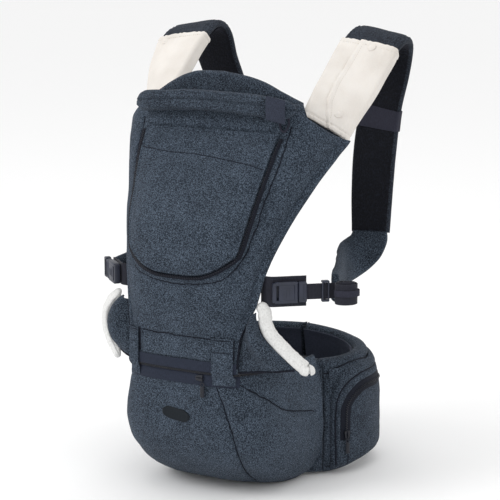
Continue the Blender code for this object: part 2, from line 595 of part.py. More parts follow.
for side, s in (("right", 1.0), ("left", -1.0)):
    # gusset and padded cuff round the leg opening
    nu, nv = 10, 7
    rows = []
    outer = []
    for i in range(nu + 1):
        t = i / nu
        z = 0.2470 - 0.0735 * t
        w = herm(WZ, WW, z)
        e = np.array([w + 0.0016, herm(WZ, WE, z) + 0.0014, z])
        # the right opening stands wide; the left one is drawn in again at the bottom
        kx, ky = (0.0640 * t ** 1.25, 0.0290 * t ** 1.25) if s > 0 else (0.0440 * math.sin(math.pi * (0.06 + 0.80 * t ** 0.9)),
                                                                        0.0200 * math.sin(math.pi * (0.06 + 0.80 * t ** 0.9)))
        g = np.array([w + 0.0030 + kx, herm(WZ, WE, z) + 0.0040 + ky, z + 0.0040 + 0.0020 * t])
        outer.append(g)
        row = []
        for j in range(nv + 1):
            v = j / nv
            p = e + (g - e) * v
            bul = math.sin(math.pi * v) * 0.010 * math.sin(math.pi * min(1.0, t * 0.9 + 0.12))
            p = p + np.array([0.15, -1.0, 0.0]) * bul
            row.append(p)
        rows.append(row)
    P = mir(rows, s)
    N = normals(P)
    if N[nu // 2, nv // 2][1] > 0:
        N = -N
    slab("leg_gusset_" + side, P, -0.0015, 0.0015, "melange_fabric", N=N)
    outer = np.array(outer)
    off = np.tile([0.0075, 0.0080, 0.0015], (len(outer), 1))
    if side == "left":
        ud, tg = np.array([0.88, 0.47, 0.0]), np.gradient(outer, axis=0)
        tg /= np.linalg.norm(tg, axis=1, keepdims=True)
        off = 0.0116 * (np.outer(np.maximum(-tg[:, 2], 0.80 - 2.5 * np.arange(len(tg)) / len(tg)), ud)
                        + np.outer(np.minimum(tg @ ud, 0.35), [0.0, 0.0, 1.0]))
    C = spline([tuple(outer[k] + off[k]) for k in (0, 2, 4, 6, 8, 10)], 2)
    T, W, Nn = frames(C, np.tile([0.78, 0.62, 0.0], (len(C), 1)))
    rings = [mir([c + w * x * k + n * y * k for x, y in rrect(0.0170, 0.0085, 0.0040, 3)], s)
             for c, w, n, k in zip(C, W, Nn, [0.7, 0.95] + [1.0] * (len(C) - 3) + [0.75])]
    loft("leg_cuff_" + side, rings, "white_fleece")

    # side guard tab, buckle halves, webbing and ladder lock
    loft("side_guard_tab_" + side, bar([(0.0140, -0.0020, 0.0024, GUARD_H[side], 0.0010), (0.0620, -0.0020, 0.0024, GUARD_H[side], 0.0010)], s),
         "webbing")
    oo, ii = (0.0092, BUCKLE_W, 0.0028), (0.0056, 0.0210, 0.0010)
    rings = bar([(0.0170, 0.0048, oo[0] * 0.8, oo[1] * 0.86, 0.0024), (0.0190, 0.0048, oo[0], oo[1], oo[2]),
                 (0.0480, 0.0048, oo[0], oo[1], oo[2]), (0.0490, 0.0048, oo[0] - 0.001, oo[1] - 0.001, 0.0024),
                 (0.0490, 0.0048, ii[0], ii[1], ii[2]), (0.0215, 0.0048, ii[0], ii[1], ii[2])], s)
    loft("side_buckle_female_" + side, rings, "buckle_plastic")
    mo = tuple(mir(O3 + D3 * 0.0495 + N3 * 0.0048, s))
    rings = bar([(0.0235, 0.0048, 0.0026, 0.0110, 0.0010), (0.0280, 0.0048, 0.0040, 0.0196, 0.0012),
                 (0.0340, 0.0048, 0.0040, 0.0196, 0.0012), (0.0370, 0.0048, 0.0040, 0.0130, 0.0012),
                 (0.0490, 0.0048, 0.0040, 0.0130, 0.0012), (0.0496, 0.0048, 0.0084, BUCKLE_W - 0.001, 0.0024),
                 (0.0600, 0.0048, 0.0084, BUCKLE_W - 0.001, 0.0024), (0.0612, 0.0048, 0.0068, BUCKLE_W - 0.003, 0.0020)], s)
    loft("side_buckle_male_" + side, rings, "buckle_plastic", mo)
    loft("side_webbing_" + side, bar([(0.0616, 0.0042, 0.0018, 0.0200, 0.0007), (WEB_END[side], 0.0042, 0.0018, 0.0200, 0.0007)], s),
         "webbing", mo)
    l0, l1 = LOCK_RUN[side], LOCK_RUN[side] + 0.0095
    la = bar([(l0, 0.0042, 0.0076, 0.0270, 0.0020), (l1, 0.0042, 0.0076, 0.0270, 0.0020)], s)
    lb = bar([(l1, 0.0042, 0.0034, 0.0214, 0.0008), (l0, 0.0042, 0.0034, 0.0214, 0.0008)], s)
    loft("ladder_lock_" + side, la + lb, "buckle_plastic", closed=True)

    # padded strap, its mesh lining, elastic band and cream cover
    S = spline([(c[0] + d,) + c[1:] for c, d in zip(STRAP, LEAN[side])], 2)
    T, W, Nn = frames(S[:, :3], S[:, 3:6])
    S3 = S[:, :3]
    rings = sweep_rings(S3, W, Nn, S[:, 6], -0.0025, STRAP_T - 0.0025)
    loft("shoulder_strap_" + side, [mir(r, s) for r in rings], "melange_fabric")
    rings = sweep_rings(S3, W, Nn, S[:, 6] - 0.010, -0.0025 - GAP - 0.0018, -0.0025 - GAP, 0.0007, 1)
    loft("strap_mesh_" + side, [mir(r, s) for r in rings], "dark_mesh")
    k0, k1 = 1, 8
    outr = sweep_rings(S3[k0:k1], W[k0:k1], Nn[k0:k1], S[k0:k1, 6], -0.0070, STRAP_T, 0.0046, 2, 0.0022)
    innr = sweep_rings(S3[k0:k1], W[k0:k1], Nn[k0:k1], S[k0:k1, 6], -0.0055, STRAP_T - 0.0018, 0.0040, 2, 0.0008)
    loft("strap_cover_" + side, [mir(r, s) for r in outr] + [mir(r, s) for r in reversed(innr)], "cream_cover", closed=True)
    k0, k1 = 16, 18
    outr = sweep_rings(S3[k0:k1], W[k0:k1], Nn[k0:k1], S[k0:k1, 6], -0.0066, STRAP_T - 0.0002, 0.0044, 2, 0.0018)
    innr = sweep_rings(S3[k0:k1], W[k0:k1], Nn[k0:k1], S[k0:k1, 6], -0.0054, STRAP_T - 0.0014, 0.0040, 2, 0.0006)
    loft("strap_elastic_band_" + side, [mir(r, s) for r in outr] + [mir(r, s) for r in reversed(innr)], "webbing", closed=True)
    G = spline(WING[side], 2)
    T, W, Nn = frames(G[:, :3], G[:, 3:6])
    rings = sweep_rings(G[:, :3], W, Nn, G[:, 6], -0.0042, 0.0046)
    loft("strap_end_" + side, [mir(r, s) for r in rings], "melange_fabric")
    # rolled tail of the webbing, held by an elastic keeper
    if side == "right":
        c, e1, e2 = O3 + D3 * 0.1090 + N3 * 0.0190, D3, N3
    else:
        c, e1, e2 = np.array([0.1660, -0.0500, 0.2770]), np.array([0.0, 1.0, 0.0]), np.array([1.0, 0.0, 0.0])
    rings = [mir([c + Z3 * (h + 0.20 * 0.0110 * math.cos(a)) + e1 * r * 1.35 * math.cos(a) + e2 * r * 0.95 * math.sin(a)
                  for a in np.linspace(0, 2 * math.pi, 17)[:-1]], s)
             for h, r in ((-0.0125, 0.0095), (-0.0120, 0.0110), (0.0120, 0.0110), (0.0125, 0.0095))]
    loft("webbing_roll_" + side, rings, "webbing")

# guard straps over the ends of the front zip
GX = np.linspace(0.0480, 0.0755, 5)
patch("zip_guard_upper_right", panel_pt, GX, [0.1735, 0.1870, 0.2030, 0.2190], 0.0020, 0.0034, "melange_fabric")
patch("zip_guard_lower_right", seat_front, GX, [0.1630, 0.1660, 0.1690], 0.0024, 0.0038, "melange_fabric")

# ---------------------------------------------------------------- rear buckle
RY = RING_YC + RING_B


def rstrip(name, a0, a1):
    rows, nr = [], []
    for i in range(9):
        a = a0 + (a1 - a0) * i / 8
        rows.append([ring_pt(a, 0.098 + 0.0125 * (j - 1)) for j in range(3)])
        nr.append([ring_pt(a, 0, 1.0) - ring_pt(a, 0, 0.0)] * 3)
    slab(name, rows, GAP, 0.0020, "webbing", N=np.array(nr))


rstrip("rear_webbing_left", -166.0, -146.0)
rstrip("rear_webbing_right", 166.0, 146.0)


def rbar(secs):
    return [[(run, RY + 0.0068 + x, 0.098 + y) for x, y in rrect(nsz, zsz, r, 2)] for run, nsz, zsz, r in secs]


loft("rear_buckle_female", rbar([(-0.0320, 0.0090, 0.0290, 0.0024), (-0.0300, 0.0108, 0.0330, 0.0030),
                                 (0.0080, 0.0108, 0.0330, 0.0030), (0.0095, 0.0096, 0.0320, 0.0026),
                                 (0.0095, 0.0064, 0.0260, 0.0010), (-0.0260, 0.0064, 0.0260, 0.0010)]), "buckle_plastic")
loft("rear_buckle_male", rbar([(-0.0230, 0.0030, 0.0140, 0.0010), (-0.0180, 0.0046, 0.0240, 0.0014),
                               (-0.0100, 0.0046, 0.0240, 0.0014), (-0.0060, 0.0046, 0.0160, 0.0014),
                               (0.0096, 0.0046, 0.0160, 0.0014), (0.0102, 0.0100, 0.0310, 0.0028),
                               (0.0240, 0.0100, 0.0310, 0.0028), (0.0255, 0.0080, 0.0290, 0.0022)]), "buckle_plastic",
     (0.010, RY + 0.0068, 0.098))
loft("rear_webbing_tail", rbar([(0.0260, 0.0018, 0.0250, 0.0007), (0.0520, 0.0018, 0.0250, 0.0007)]), "webbing",
     (0.010, RY + 0.0068, 0.098))
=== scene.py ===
import math

import bmesh
import bpy
import numpy as np
from mathutils import Matrix, Vector, noise
from mathutils.bvhtree import BVHTree


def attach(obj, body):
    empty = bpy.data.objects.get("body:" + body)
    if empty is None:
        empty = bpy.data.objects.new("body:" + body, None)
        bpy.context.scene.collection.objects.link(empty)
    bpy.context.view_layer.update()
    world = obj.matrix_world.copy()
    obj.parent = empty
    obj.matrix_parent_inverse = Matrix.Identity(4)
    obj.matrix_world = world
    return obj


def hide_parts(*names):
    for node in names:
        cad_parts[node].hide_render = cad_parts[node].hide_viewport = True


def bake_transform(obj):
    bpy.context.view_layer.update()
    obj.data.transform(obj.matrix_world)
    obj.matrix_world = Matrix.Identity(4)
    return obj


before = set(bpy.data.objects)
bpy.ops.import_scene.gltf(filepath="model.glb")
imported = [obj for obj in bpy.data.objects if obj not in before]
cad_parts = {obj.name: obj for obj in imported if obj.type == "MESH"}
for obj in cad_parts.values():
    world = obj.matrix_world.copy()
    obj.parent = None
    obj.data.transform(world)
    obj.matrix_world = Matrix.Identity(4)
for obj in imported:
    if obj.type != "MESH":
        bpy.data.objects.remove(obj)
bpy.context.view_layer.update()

# Soft baby carrier with a foam hip seat. All shapes are worked out in the frame
# of the drawing and then moved by SHIFT into the row frame.
SHIFT = np.array([-0.0075, 0.0257, 0.0])


def V3(*p):
    return np.array(p, float)


def row(p):
    """a point of the drawing in the row frame"""
    return tuple(float(x) for x in np.asarray(p, float) + SHIFT)


# ------------------------------------------------------------------ curves
def herm(xs, ys, x):
    xs = np.asarray(xs, float)
    ys = np.asarray(ys, float)
    x = np.clip(np.asarray(x, float), xs[0], xs[-1])
    h = np.diff(xs)
    d = np.diff(ys) / h
    m = np.zeros(len(xs))
    m[0], m[-1] = d[0], d[-1]
    for k in range(1, len(xs) - 1):
        m[k] = 0.0 if d[k - 1] * d[k] <= 0 else 2 * d[k - 1] * d[k] / (d[k - 1] + d[k])
    i = np.clip(np.searchsorted(xs, x) - 1, 0, len(h) - 1)
    t = (x - xs[i]) / h[i]
    return ((2 * t**3 - 3 * t**2 + 1) * ys[i] + (t**3 - 2 * t**2 + t) * h[i] * m[i]
            + (-2 * t**3 + 3 * t**2) * ys[i + 1] + (t**3 - t**2) * h[i] * m[i + 1])


def spline(pts, per=4):
    pts = [np.asarray(p, float) for p in pts]
    out = []
    for i in range(len(pts) - 1):
        p0 = pts[i - 1] if i else 2 * pts[0] - pts[1]
        p1, p2 = pts[i], pts[i + 1]
        p3 = pts[i + 2] if i + 2 < len(pts) else 2 * pts[-1] - pts[-2]
        for k in range(per):
            t = k / per
            out.append(0.5 * (2 * p1 + (p2 - p0) * t + (2 * p0 - 5 * p1 + 4 * p2 - p3) * t * t
                              + (3 * p1 - p0 - 3 * p2 + p3) * t**3))
    out.append(pts[-1])
    return np.array(out)


def smooth(t):
    t = np.clip(t, 0.0, 1.0)
    return t * t * (3 - 2 * t)


def resample(pts, step):
    pts = np.asarray(pts, float)
    d = np.concatenate([[0], np.cumsum(np.linalg.norm(np.diff(pts, axis=0), axis=1))])
    n = max(2, int(round(d[-1] / step)) + 1)
    s = np.linspace(0, d[-1], n)
    return np.column_stack([np.interp(s, d, pts[:, k]) for k in range(pts.shape[1])])


def fbm(P, scale, seed=0.0, octaves=2):
    """smooth repeatable unevenness, about -1 to 1"""
    flat = np.asarray(P, float).reshape(-1, 3) * scale + np.array([seed * 7.13, seed * 3.71, seed * 5.37])
    out = np.zeros(len(flat))
    amp, f = 1.0, 1.0
    for _ in range(octaves):
        out += amp * np.array([noise.noise(Vector(p * f)) for p in flat])
        amp *= 0.5
        f *= 2.07
    return out.reshape(np.asarray(P).shape[:-1])


def near(P, line, step=0.0015):
    """distance from each point of P to a line in space"""
    L = resample(line, step)
    F = np.asarray(P, float).reshape(-1, 3)
    best = np.full(len(F), 1e9)
    for k in range(0, len(L), 64):
        d = np.linalg.norm(F[:, None, :] - L[None, k:k + 64, :], axis=2).min(axis=1)
        best = np.minimum(best, d)
    return best.reshape(np.asarray(P).shape[:-1])


def seams(P, lines, depth=0.0016, width=0.0016, puff=0.0012, reach=0.016):
    """height of cloth round sewn lines: a narrow dip, and a soft rise away from it"""
    if not lines:
        return np.zeros(np.asarray(P).shape[:-1])
    d = np.min([near(P, ln) for ln in lines], axis=0)
    return puff * (1 - np.exp(-(d / reach) ** 2)) - depth * np.exp(-(d / width) ** 2)


def ends(n, length, h):
    """n even steps over 0 to 1, with finer ones where the rim rolls over"""
    e = np.array([0.0, 0.10, 0.3, 0.6, 1.0, 1.6]) * h / length
    mid = np.linspace(e[-1], 1 - e[-1], n)
    return np.concatenate([e[:-1], mid, 1 - e[:-1][::-1]])


def grid_normals(P, toward=None):
    n = np.cross(np.gradient(P, axis=0), np.gradient(P, axis=1))
    n /= np.maximum(np.linalg.norm(n, axis=2, keepdims=True), 1e-12)
    if toward is not None:
        c = n[n.shape[0] // 2, n.shape[1] // 2]
        if np.dot(c, toward) < 0:
            n = -n
    return n


# --------------------------------------------------------------- materials
MATS = {}


def lin(r, g, b):
    f = lambda c: c / 12.92 if c <= 0.04045 else ((c + 0.055) / 1.055) ** 2.4
    return tuple(f(c / 255.0) for c in (r, g, b)) + (1.0,)


class Mat:
    def __init__(self, name, rough=0.9):
        self.m = bpy.data.materials.new(name)
        self.m.use_nodes = True
        self.t = self.m.node_tree
        self.b = self.t.nodes["Principled BSDF"]
        self.b.inputs["Roughness"].default_value = rough
        self.b.inputs["Specular IOR Level"].default_value = {"buckle": 0.4, "zipper": 0.35}.get(name, 0.14)
        self.tc = self.t.nodes.new("ShaderNodeTexCoord")
        MATS[name] = self.m

    def node(self, kind, **inputs):
        n = self.t.nodes.new(kind)
        for k, v in inputs.items():
            key = k.replace("_", " ")
            if key in n.inputs:
                n.inputs[key].default_value = v
            else:
                setattr(n, k, v)
        return n

    def link(self, a, b):
        self.t.links.new(a, b)

    def mapped(self, scale, rot=(0, 0, 0)):
        n = self.node("ShaderNodeMapping")
        n.inputs["Scale"].default_value = scale
        n.inputs["Rotation"].default_value = rot
        self.link(self.tc.outputs["Object"], n.inputs["Vector"])
        return n.outputs["Vector"]

    def noise(self, scale, detail=2.0, rough=0.5, rot=(0, 0, 0)):
        n = self.node("ShaderNodeTexNoise")
        n.inputs["Scale"].default_value = 1.0
        n.inputs["Detail"].default_value = detail
        n.inputs["Roughness"].default_value = rough
        self.link(self.mapped(scale if hasattr(scale, "__len__") else (scale,) * 3, rot), n.inputs["Vector"])
        return n.outputs["Fac"]

    def wave(self, scale, rot=(0, 0, 0), direction="X", distort=0.0):
        n = self.node("ShaderNodeTexWave")
        n.wave_type = "BANDS"
        n.bands_direction = direction
        n.inputs["Scale"].default_value = 1.0
        n.inputs["Distortion"].default_value = distort
        self.link(self.mapped((scale,) * 3, rot), n.inputs["Vector"])
        return n.outputs["Fac"]

    def cells(self, scale, rot=(0, 0, 0)):
        n = self.node("ShaderNodeTexVoronoi")
        n.inputs["Scale"].default_value = 1.0
        self.link(self.mapped(scale if hasattr(scale, "__len__") else (scale,) * 3, rot), n.inputs["Vector"])
        return n.outputs["Distance"]

    def math(self, op, a, b=None):
        n = self.t.nodes.new("ShaderNodeMath")
        n.operation = op
        for k, v in enumerate((a, b)):
            if v is None:
                continue
            if hasattr(v, "type"):
                self.link(v, n.inputs[k])
            else:
                n.inputs[k].default_value = v
        return n.outputs["Value"]

    def ramp(self, fac, stops):
        n = self.t.nodes.new("ShaderNodeValToRGB")
        r = n.color_ramp
        while len(r.elements) < len(stops):
            r.elements.new(0.5)
        for e, (p, c) in zip(r.elements, stops):
            e.position = p
            e.color = c if len(c) == 4 else tuple(c) + (1.0,)
        self.link(fac, n.inputs["Fac"])
        return n.outputs["Color"]

    def bump(self, height, strength, distance):
        n = self.t.nodes.new("ShaderNodeBump")
        n.inputs["Strength"].default_value = strength
        n.inputs["Distance"].default_value = distance
        self.link(height, n.inputs["Height"])
        if self.b.inputs["Normal"].is_linked:
            self.link(self.b.inputs["Normal"].links[0].from_socket, n.inputs["Normal"])
        self.link(n.outputs["Normal"], self.b.inputs["Normal"])

    def colour(self, c):
        self.link(c, self.b.inputs["Base Color"])

    def rough(self, r):
        self.link(r, self.b.inputs["Roughness"])

    def sheen(self, w, rough=0.4, tint=(1, 1, 1, 1)):
        self.b.inputs["Sheen Weight"].default_value = w
        self.b.inputs["Sheen Roughness"].default_value = rough
        self.b.inputs["Sheen Tint"].default_value = tint


def melange(name, dark, mid, light, sheen=0.05):
    m = Mat(name, 0.92)
    a = m.noise((600, 600, 980), 2.5, 0.75)
    b = m.noise((980, 980, 560), 2.5, 0.75)
    big = m.noise(34, 2.0)
    f = m.math("ADD", m.math("MULTIPLY", a, 0.52), m.math("MULTIPLY", b, 0.48))
    f = m.math("ADD", f, m.math("MULTIPLY", m.math("SUBTRACT", big, 0.5), 0.06))
    m.colour(m.ramp(f, [(0.430, dark), (0.50, mid), (0.580, light)]))
    w = m.math("ADD", m.wave(420, (0, 0, 0), "Z", 1.5), m.wave(420, (0, 0, 0), "X", 1.5))
    m.bump(m.math("ADD", m.math("MULTIPLY", f, 1.8), m.math("MULTIPLY", w, 0.35)), 0.7, 0.0008)
    m.rough(m.math("ADD", 0.80, m.math("MULTIPLY", f, 0.20)))
    m.sheen(sheen, 0.45, (0.75, 0.83, 1.0, 1.0))
    m.b.inputs["Specular IOR Level"].default_value = 0.2
    return m.m


melange("melange", lin(17, 23, 31), lin(45, 55, 67), lin(90, 102, 117))
melange("melange_deep", lin(14, 19, 26), lin(41, 50, 61), lin(84, 95, 109))
melange("melange_strap", lin(12, 15, 21), lin(33, 38, 47), lin(66, 73, 84))

m = Mat("spacer_mesh", 0.8)
c = m.cells(430)
m.colour(m.ramp(c, [(0.10, lin(5, 6, 10)), (0.55, lin(14, 16, 23)), (0.9, lin(23, 26, 35))]))
m.bump(c, 0.9, 0.0009)
m.sheen(0.05, 0.5, (0.7, 0.75, 1.0, 1.0))
m.b.inputs["Specular IOR Level"].default_value = 0.15

m = Mat("lining", 0.7)
a = m.noise((900, 900, 900), 2.0)
m.colour(m.ramp(a, [(0.3, lin(36, 40, 51)), (0.7, lin(54, 59, 73))]))
m.bump(m.math("ADD", a, m.noise(120, 2.0)), 0.35, 0.0006)
m.sheen(0.15, 0.4, (0.7, 0.78, 1.0, 1.0))

m = Mat("web", 0.62)
rib = m.wave(260, (0, 0, 0), "Z", 0.3)
a = m.noise((1200, 1200, 300), 2.0)
m.colour(m.ramp(m.math("ADD", m.math("MULTIPLY", rib, 0.45), m.math("MULTIPLY", a, 0.55)),
                [(0.25, lin(25, 26, 33)), (0.75, lin(47, 48, 58))]))
m.bump(m.math("ADD", rib, a), 0.6, 0.0005)
m.sheen(0.10, 0.4)

m = Mat("elastic", 0.75)
rib = m.wave(330, (0, 0, 0), "Z", 0.2)
a = m.noise((900, 900, 300), 2.0)
m.colour(m.ramp(m.math("ADD", m.math("MULTIPLY", rib, 0.5), m.math("MULTIPLY", a, 0.5)),
                [(0.25, lin(37, 37, 47)), (0.75, lin(58, 59, 72))]))
m.bump(m.math("ADD", rib, a), 0.6, 0.0006)

m = Mat("tape", 0.7)
w = m.noise((1300, 1300, 420), 2.0)
m.colour(m.ramp(w, [(0.3, lin(27, 32, 44)), (0.7, lin(40, 46, 61))]))
m.bump(w, 0.5, 0.0004)
m.sheen(0.12, 0.4)

# dark zip tape colour, also used for the painted seam and gap shadows laid as dark tubes
m = Mat("tape_dark", 0.7)
w = m.noise((1300, 1300, 420), 2.0)
m.colour(m.ramp(w, [(0.3, lin(12, 14, 21)), (0.7, lin(25, 29, 41))]))
m.bump(w, 0.5, 0.0004)

m = Mat("cream", 0.85)
a = m.noise((800, 800, 800), 2.0)
big = m.noise(22, 2.0)
m.colour(m.ramp(m.math("ADD", m.math("MULTIPLY", a, 0.25), m.math("MULTIPLY", big, 0.75)),
                [(0.30, lin(207, 201, 194)), (0.55, lin(219, 214, 208)), (0.75, lin(224, 220, 215))]))
m.bump(a, 0.30, 0.0004)
m.bump(m.noise(60, 2.0), 0.25, 0.0030)
m.sheen(0.25, 0.5, (1.0, 0.97, 0.92, 1.0))
m.b.inputs["Subsurface Weight"].default_value = 0.06
m.b.inputs["Subsurface Radius"].default_value = (0.006, 0.005, 0.004)
m.b.inputs["Subsurface Scale"].default_value = 0.5

m = Mat("fleece", 0.97)
a = m.noise(420, 4.0, 0.65)
m.colour(m.ramp(a, [(0.30, lin(200, 200, 198)), (0.50, lin(219, 219, 217)), (0.70, lin(228, 228, 227))]))
m.bump(a, 0.8, 0.0016)
m.sheen(0.5, 0.6)

m = Mat("rubber", 0.5)
a = m.noise(900, 2.0)
m.colour(m.ramp(a, [(0.3, lin(17, 22, 27)), (0.7, lin(25, 31, 37))]))
m.bump(a, 0.25, 0.0003)

m = Mat("buckle", 0.42)
a = m.noise(1100, 3.0)
big = m.noise(60, 2.0)
m.colour(m.ramp(big, [(0.3, lin(33, 37, 50)), (0.7, lin(42, 47, 63))]))
m.rough(m.math("ADD", 0.36, m.math("MULTIPLY", a, 0.16)))
m.bump(a, 0.18, 0.0002)

m = Mat("zipper", 0.38)
a = m.noise(700, 2.0)
m.colour(m.ramp(a, [(0.3, lin(19, 21, 28)), (0.7, lin(31, 34, 44))]))
m.bump(a, 0.15, 0.0002)

m = Mat("thread", 0.7)
a = m.noise(1800, 2.0)
m.colour(m.ramp(a, [(0.3, lin(44, 51, 62)), (0.7, lin(66, 75, 88))]))
m.bump(a, 0.4, 0.0002)

m = Mat("thread_cream", 0.7)
a = m.noise(1800, 2.0)
m.colour(m.ramp(a, [(0.3, lin(190, 183, 172)), (0.7, lin(208, 202, 192))]))
m.bump(a, 0.4, 0.0002)

m = Mat("foam", 0.95)
a = m.cells(380)
m.colour(m.ramp(a, [(0.1, lin(30, 31, 34)), (0.7, lin(58, 59, 63))]))
m.bump(a, 0.7, 0.0010)


# ------------------------------------------------------------------ pieces
SURF = {}
BODY = {}
FLAT = {}


def make(name, verts, faces, mat, body, rep=(), slot=None, sharp=55, ride=True):
    me = bpy.data.meshes.new(name)
    v = np.asarray(verts, float).reshape(-1, 3) + SHIFT
    me.from_pydata(v.tolist(), [], [tuple(int(i) for i in f) for f in faces])
    bm = bmesh.new()
    bm.from_mesh(me)
    bmesh.ops.remove_doubles(bm, verts=bm.verts, dist=2e-6)
    bmesh.ops.recalc_face_normals(bm, faces=bm.faces)
    if bm.calc_volume(signed=True) < 0:
        bmesh.ops.reverse_faces(bm, faces=bm.faces)
    bm.to_mesh(me)
    bm.free()
    me.materials.append(MATS[mat])
    me.polygons.foreach_set("use_smooth", [True] * len(me.polygons))
    me.set_sharp_from_angle(angle=math.radians(sharp))
    o = bpy.data.objects.new(name, me)
    bpy.context.scene.collection.objects.link(o)
    SURF[name] = BVHTree.FromPolygons(v.tolist(), [tuple(int(i) for i in f) for f in faces])
    BODY[name] = body
    if ride:
        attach(o, body)
    if rep:
        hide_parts(*((rep,) if isinstance(rep, str) else rep))
    return o


def slab(name, P, f, b, mat, body, rep=(), slot=None, N=None, toward=None, rim=True, ride=True):
    """closed cloth between the offsets f and b of a grid, with rolled rims"""
    P = np.asarray(P, float)
    if N is None:
        N = grid_normals(P, toward)
    nu, nv = P.shape[:2]
    du_, dv_ = np.linalg.norm(np.diff(P, axis=0), axis=2), np.linalg.norm(np.diff(P, axis=1), axis=2)
    cr_ = np.linalg.norm(np.cross(P[1:, :-1] - P[:-1, :-1], P[:-1, 1:] - P[:-1, :-1]), axis=2)
    FLAT[name] = (float(dv_.sum(axis=1).max()), float(du_.sum(axis=0).max()), float(cr_.sum()))
    f = np.broadcast_to(np.asarray(f, float), (nu, nv)).copy()
    b = np.broadcast_to(np.asarray(b, float), (nu, nv)).copy()
    if rim:
        du = np.concatenate([np.zeros((1, nv)), np.cumsum(np.linalg.norm(np.diff(P, axis=0), axis=2), axis=0)])
        dv = np.concatenate([np.zeros((nu, 1)), np.cumsum(np.linalg.norm(np.diff(P, axis=1), axis=2), axis=1)], axis=1)
        e = np.minimum(np.minimum(du, du[-1:] - du), np.minimum(dv, dv[:, -1:] - dv))
        h = np.maximum((f - b) / 2, 1e-5)
        mid = (f + b) / 2
        k = np.sqrt(np.clip(1 - (1 - np.clip(e / h, 0, 1)) ** 2, 0.03, 1))
        f, b = mid + h * k, mid - h * k
    A = P + N * f[:, :, None]
    B = P + N * b[:, :, None]
    n = nu * nv
    idx = np.arange(n).reshape(nu, nv)
    q = np.stack([idx[:-1, :-1], idx[1:, :-1], idx[1:, 1:], idx[:-1, 1:]], axis=-1).reshape(-1, 4)
    faces = list(map(tuple, q)) + list(map(tuple, q[:, ::-1] + n))
    edge = (list(idx[:, 0]) + list(idx[-1, 1:]) + list(idx[-2::-1, -1]) + list(idx[0, -2:0:-1]))
    for k in range(len(edge)):
        p, r = edge[k], edge[(k + 1) % len(edge)]
        faces.append((p, p + n, r + n, r))
    verts = np.concatenate([A.reshape(-1, 3), B.reshape(-1, 3)])
    return make(name, verts, faces, mat, body, rep, slot, ride=ride)


def loft(name, rings, mat, body, rep=(), slot=None, closed=False, sharp=55, ride=True):
    rings = np.asarray(rings, float)
    m, n = rings.shape[:2]
    faces = []
    for i in range(m if closed else m - 1):
        a, b = i * n, ((i + 1) % m) * n
        faces += [(a + j, a + (j + 1) % n, b + (j + 1) % n, b + j) for j in range(n)]
    if not closed:
        faces.append(tuple(range(n)))
        faces.append(tuple((m - 1) * n + j for j in range(n - 1, -1, -1)))
    return make(name, rings.reshape(-1, 3), faces, mat, body, rep, slot, sharp, ride)


def joined(name, parts, mat, body, rep=(), slot=None, sharp=35, ride=True):
    """several closed shells in one piece: parts are (verts, faces)"""
    V, F, k = [], [], 0
    for v, f in parts:
        v = np.asarray(v, float).reshape(-1, 3)
        V.append(v)
        F += [tuple(i + k for i in q) for q in f]
        k += len(v)
    return make(name, np.concatenate(V), F, mat, body, rep, slot, sharp, ride)


def rrect(w, h, r, n=2, cx=0.0, cy=0.0):
    out = []
    for qx, qy, a0 in ((1, 1, 0), (-1, 1, 90), (-1, -1, 180), (1, -1, 270)):
        for k in range(n + 1):
            a = math.radians(a0 + 90.0 * k / n)
            out.append((cx + qx * (w / 2 - r) + r * math.cos(a), cy + qy * (h / 2 - r) + r * math.sin(a)))
    return out


def dense(poly, n):
    """even points round a closed outline"""
    p = np.vstack([poly, poly[:1]])
    d = np.concatenate([[0], np.cumsum(np.linalg.norm(np.diff(p, axis=0), axis=1))])
    s = np.linspace(0, d[-1], n + 1)[:-1]
    return np.column_stack([np.interp(s, d, p[:, 0]), np.interp(s, d, p[:, 1])])


def rbox(c, ux, uy, uz, lx, ly, lz, r=0.0008, seg=2):
    """rounded box as (verts, faces); sizes along the three unit directions"""
    bm = bmesh.new()
    bmesh.ops.create_cube(bm, size=1.0)
    for v in bm.verts:
        v.co = Vector((v.co.x * lx, v.co.y * ly, v.co.z * lz))
    bmesh.ops.bevel(bm, geom=list(bm.edges), offset=min(r, lx * 0.49, ly * 0.49, lz * 0.49), segments=seg,
                    affect="EDGES", profile=0.5)
    bm.verts.ensure_lookup_table()
    c, ux, uy, uz = (np.asarray(q, float) for q in (c, ux, uy, uz))
    vs = np.array([c + ux * v.co.x + uy * v.co.y + uz * v.co.z for v in bm.verts])
    fs = [tuple(v.index for v in f.verts) for f in bm.faces]
    bm.free()
    return vs, fs


def tube_of(line, r, sides=8, flat=1.0, up=None, closed=False):
    """tube along a line as (verts, faces)"""
    L = np.asarray(line, float)
    T = np.gradient(L, axis=0)
    T /= np.maximum(np.linalg.norm(T, axis=1, keepdims=True), 1e-12)
    ref = np.array([0, 0, 1.0]) if up is None else np.asarray(up, float)
    ref = np.broadcast_to(ref, L.shape)
    A = np.cross(T, ref)
    bad = np.linalg.norm(A, axis=1) < 1e-6
    A[bad] = np.cross(T[bad], np.array([1.0, 0, 0]))
    A /= np.linalg.norm(A, axis=1, keepdims=True)
    B = np.cross(T, A)
    n = len(L)
    rr = np.broadcast_to(np.asarray(r, float), (n,))
    V = []
    for i in range(n):
        for k in range(sides):
            a = 2 * math.pi * k / sides
            V.append(L[i] + A[i] * rr[i] * math.cos(a) + B[i] * rr[i] * flat * math.sin(a))
    F = []
    for i in range(n if closed else n - 1):
        p, q = i * sides, ((i + 1) % n) * sides
        F += [(p + k, p + (k + 1) % sides, q + (k + 1) % sides, q + k) for k in range(sides)]
    if not closed:
        F.append(tuple(range(sides)))
        F.append(tuple((n - 1) * sides + k for k in range(sides - 1, -1, -1)))
    return np.array(V), F


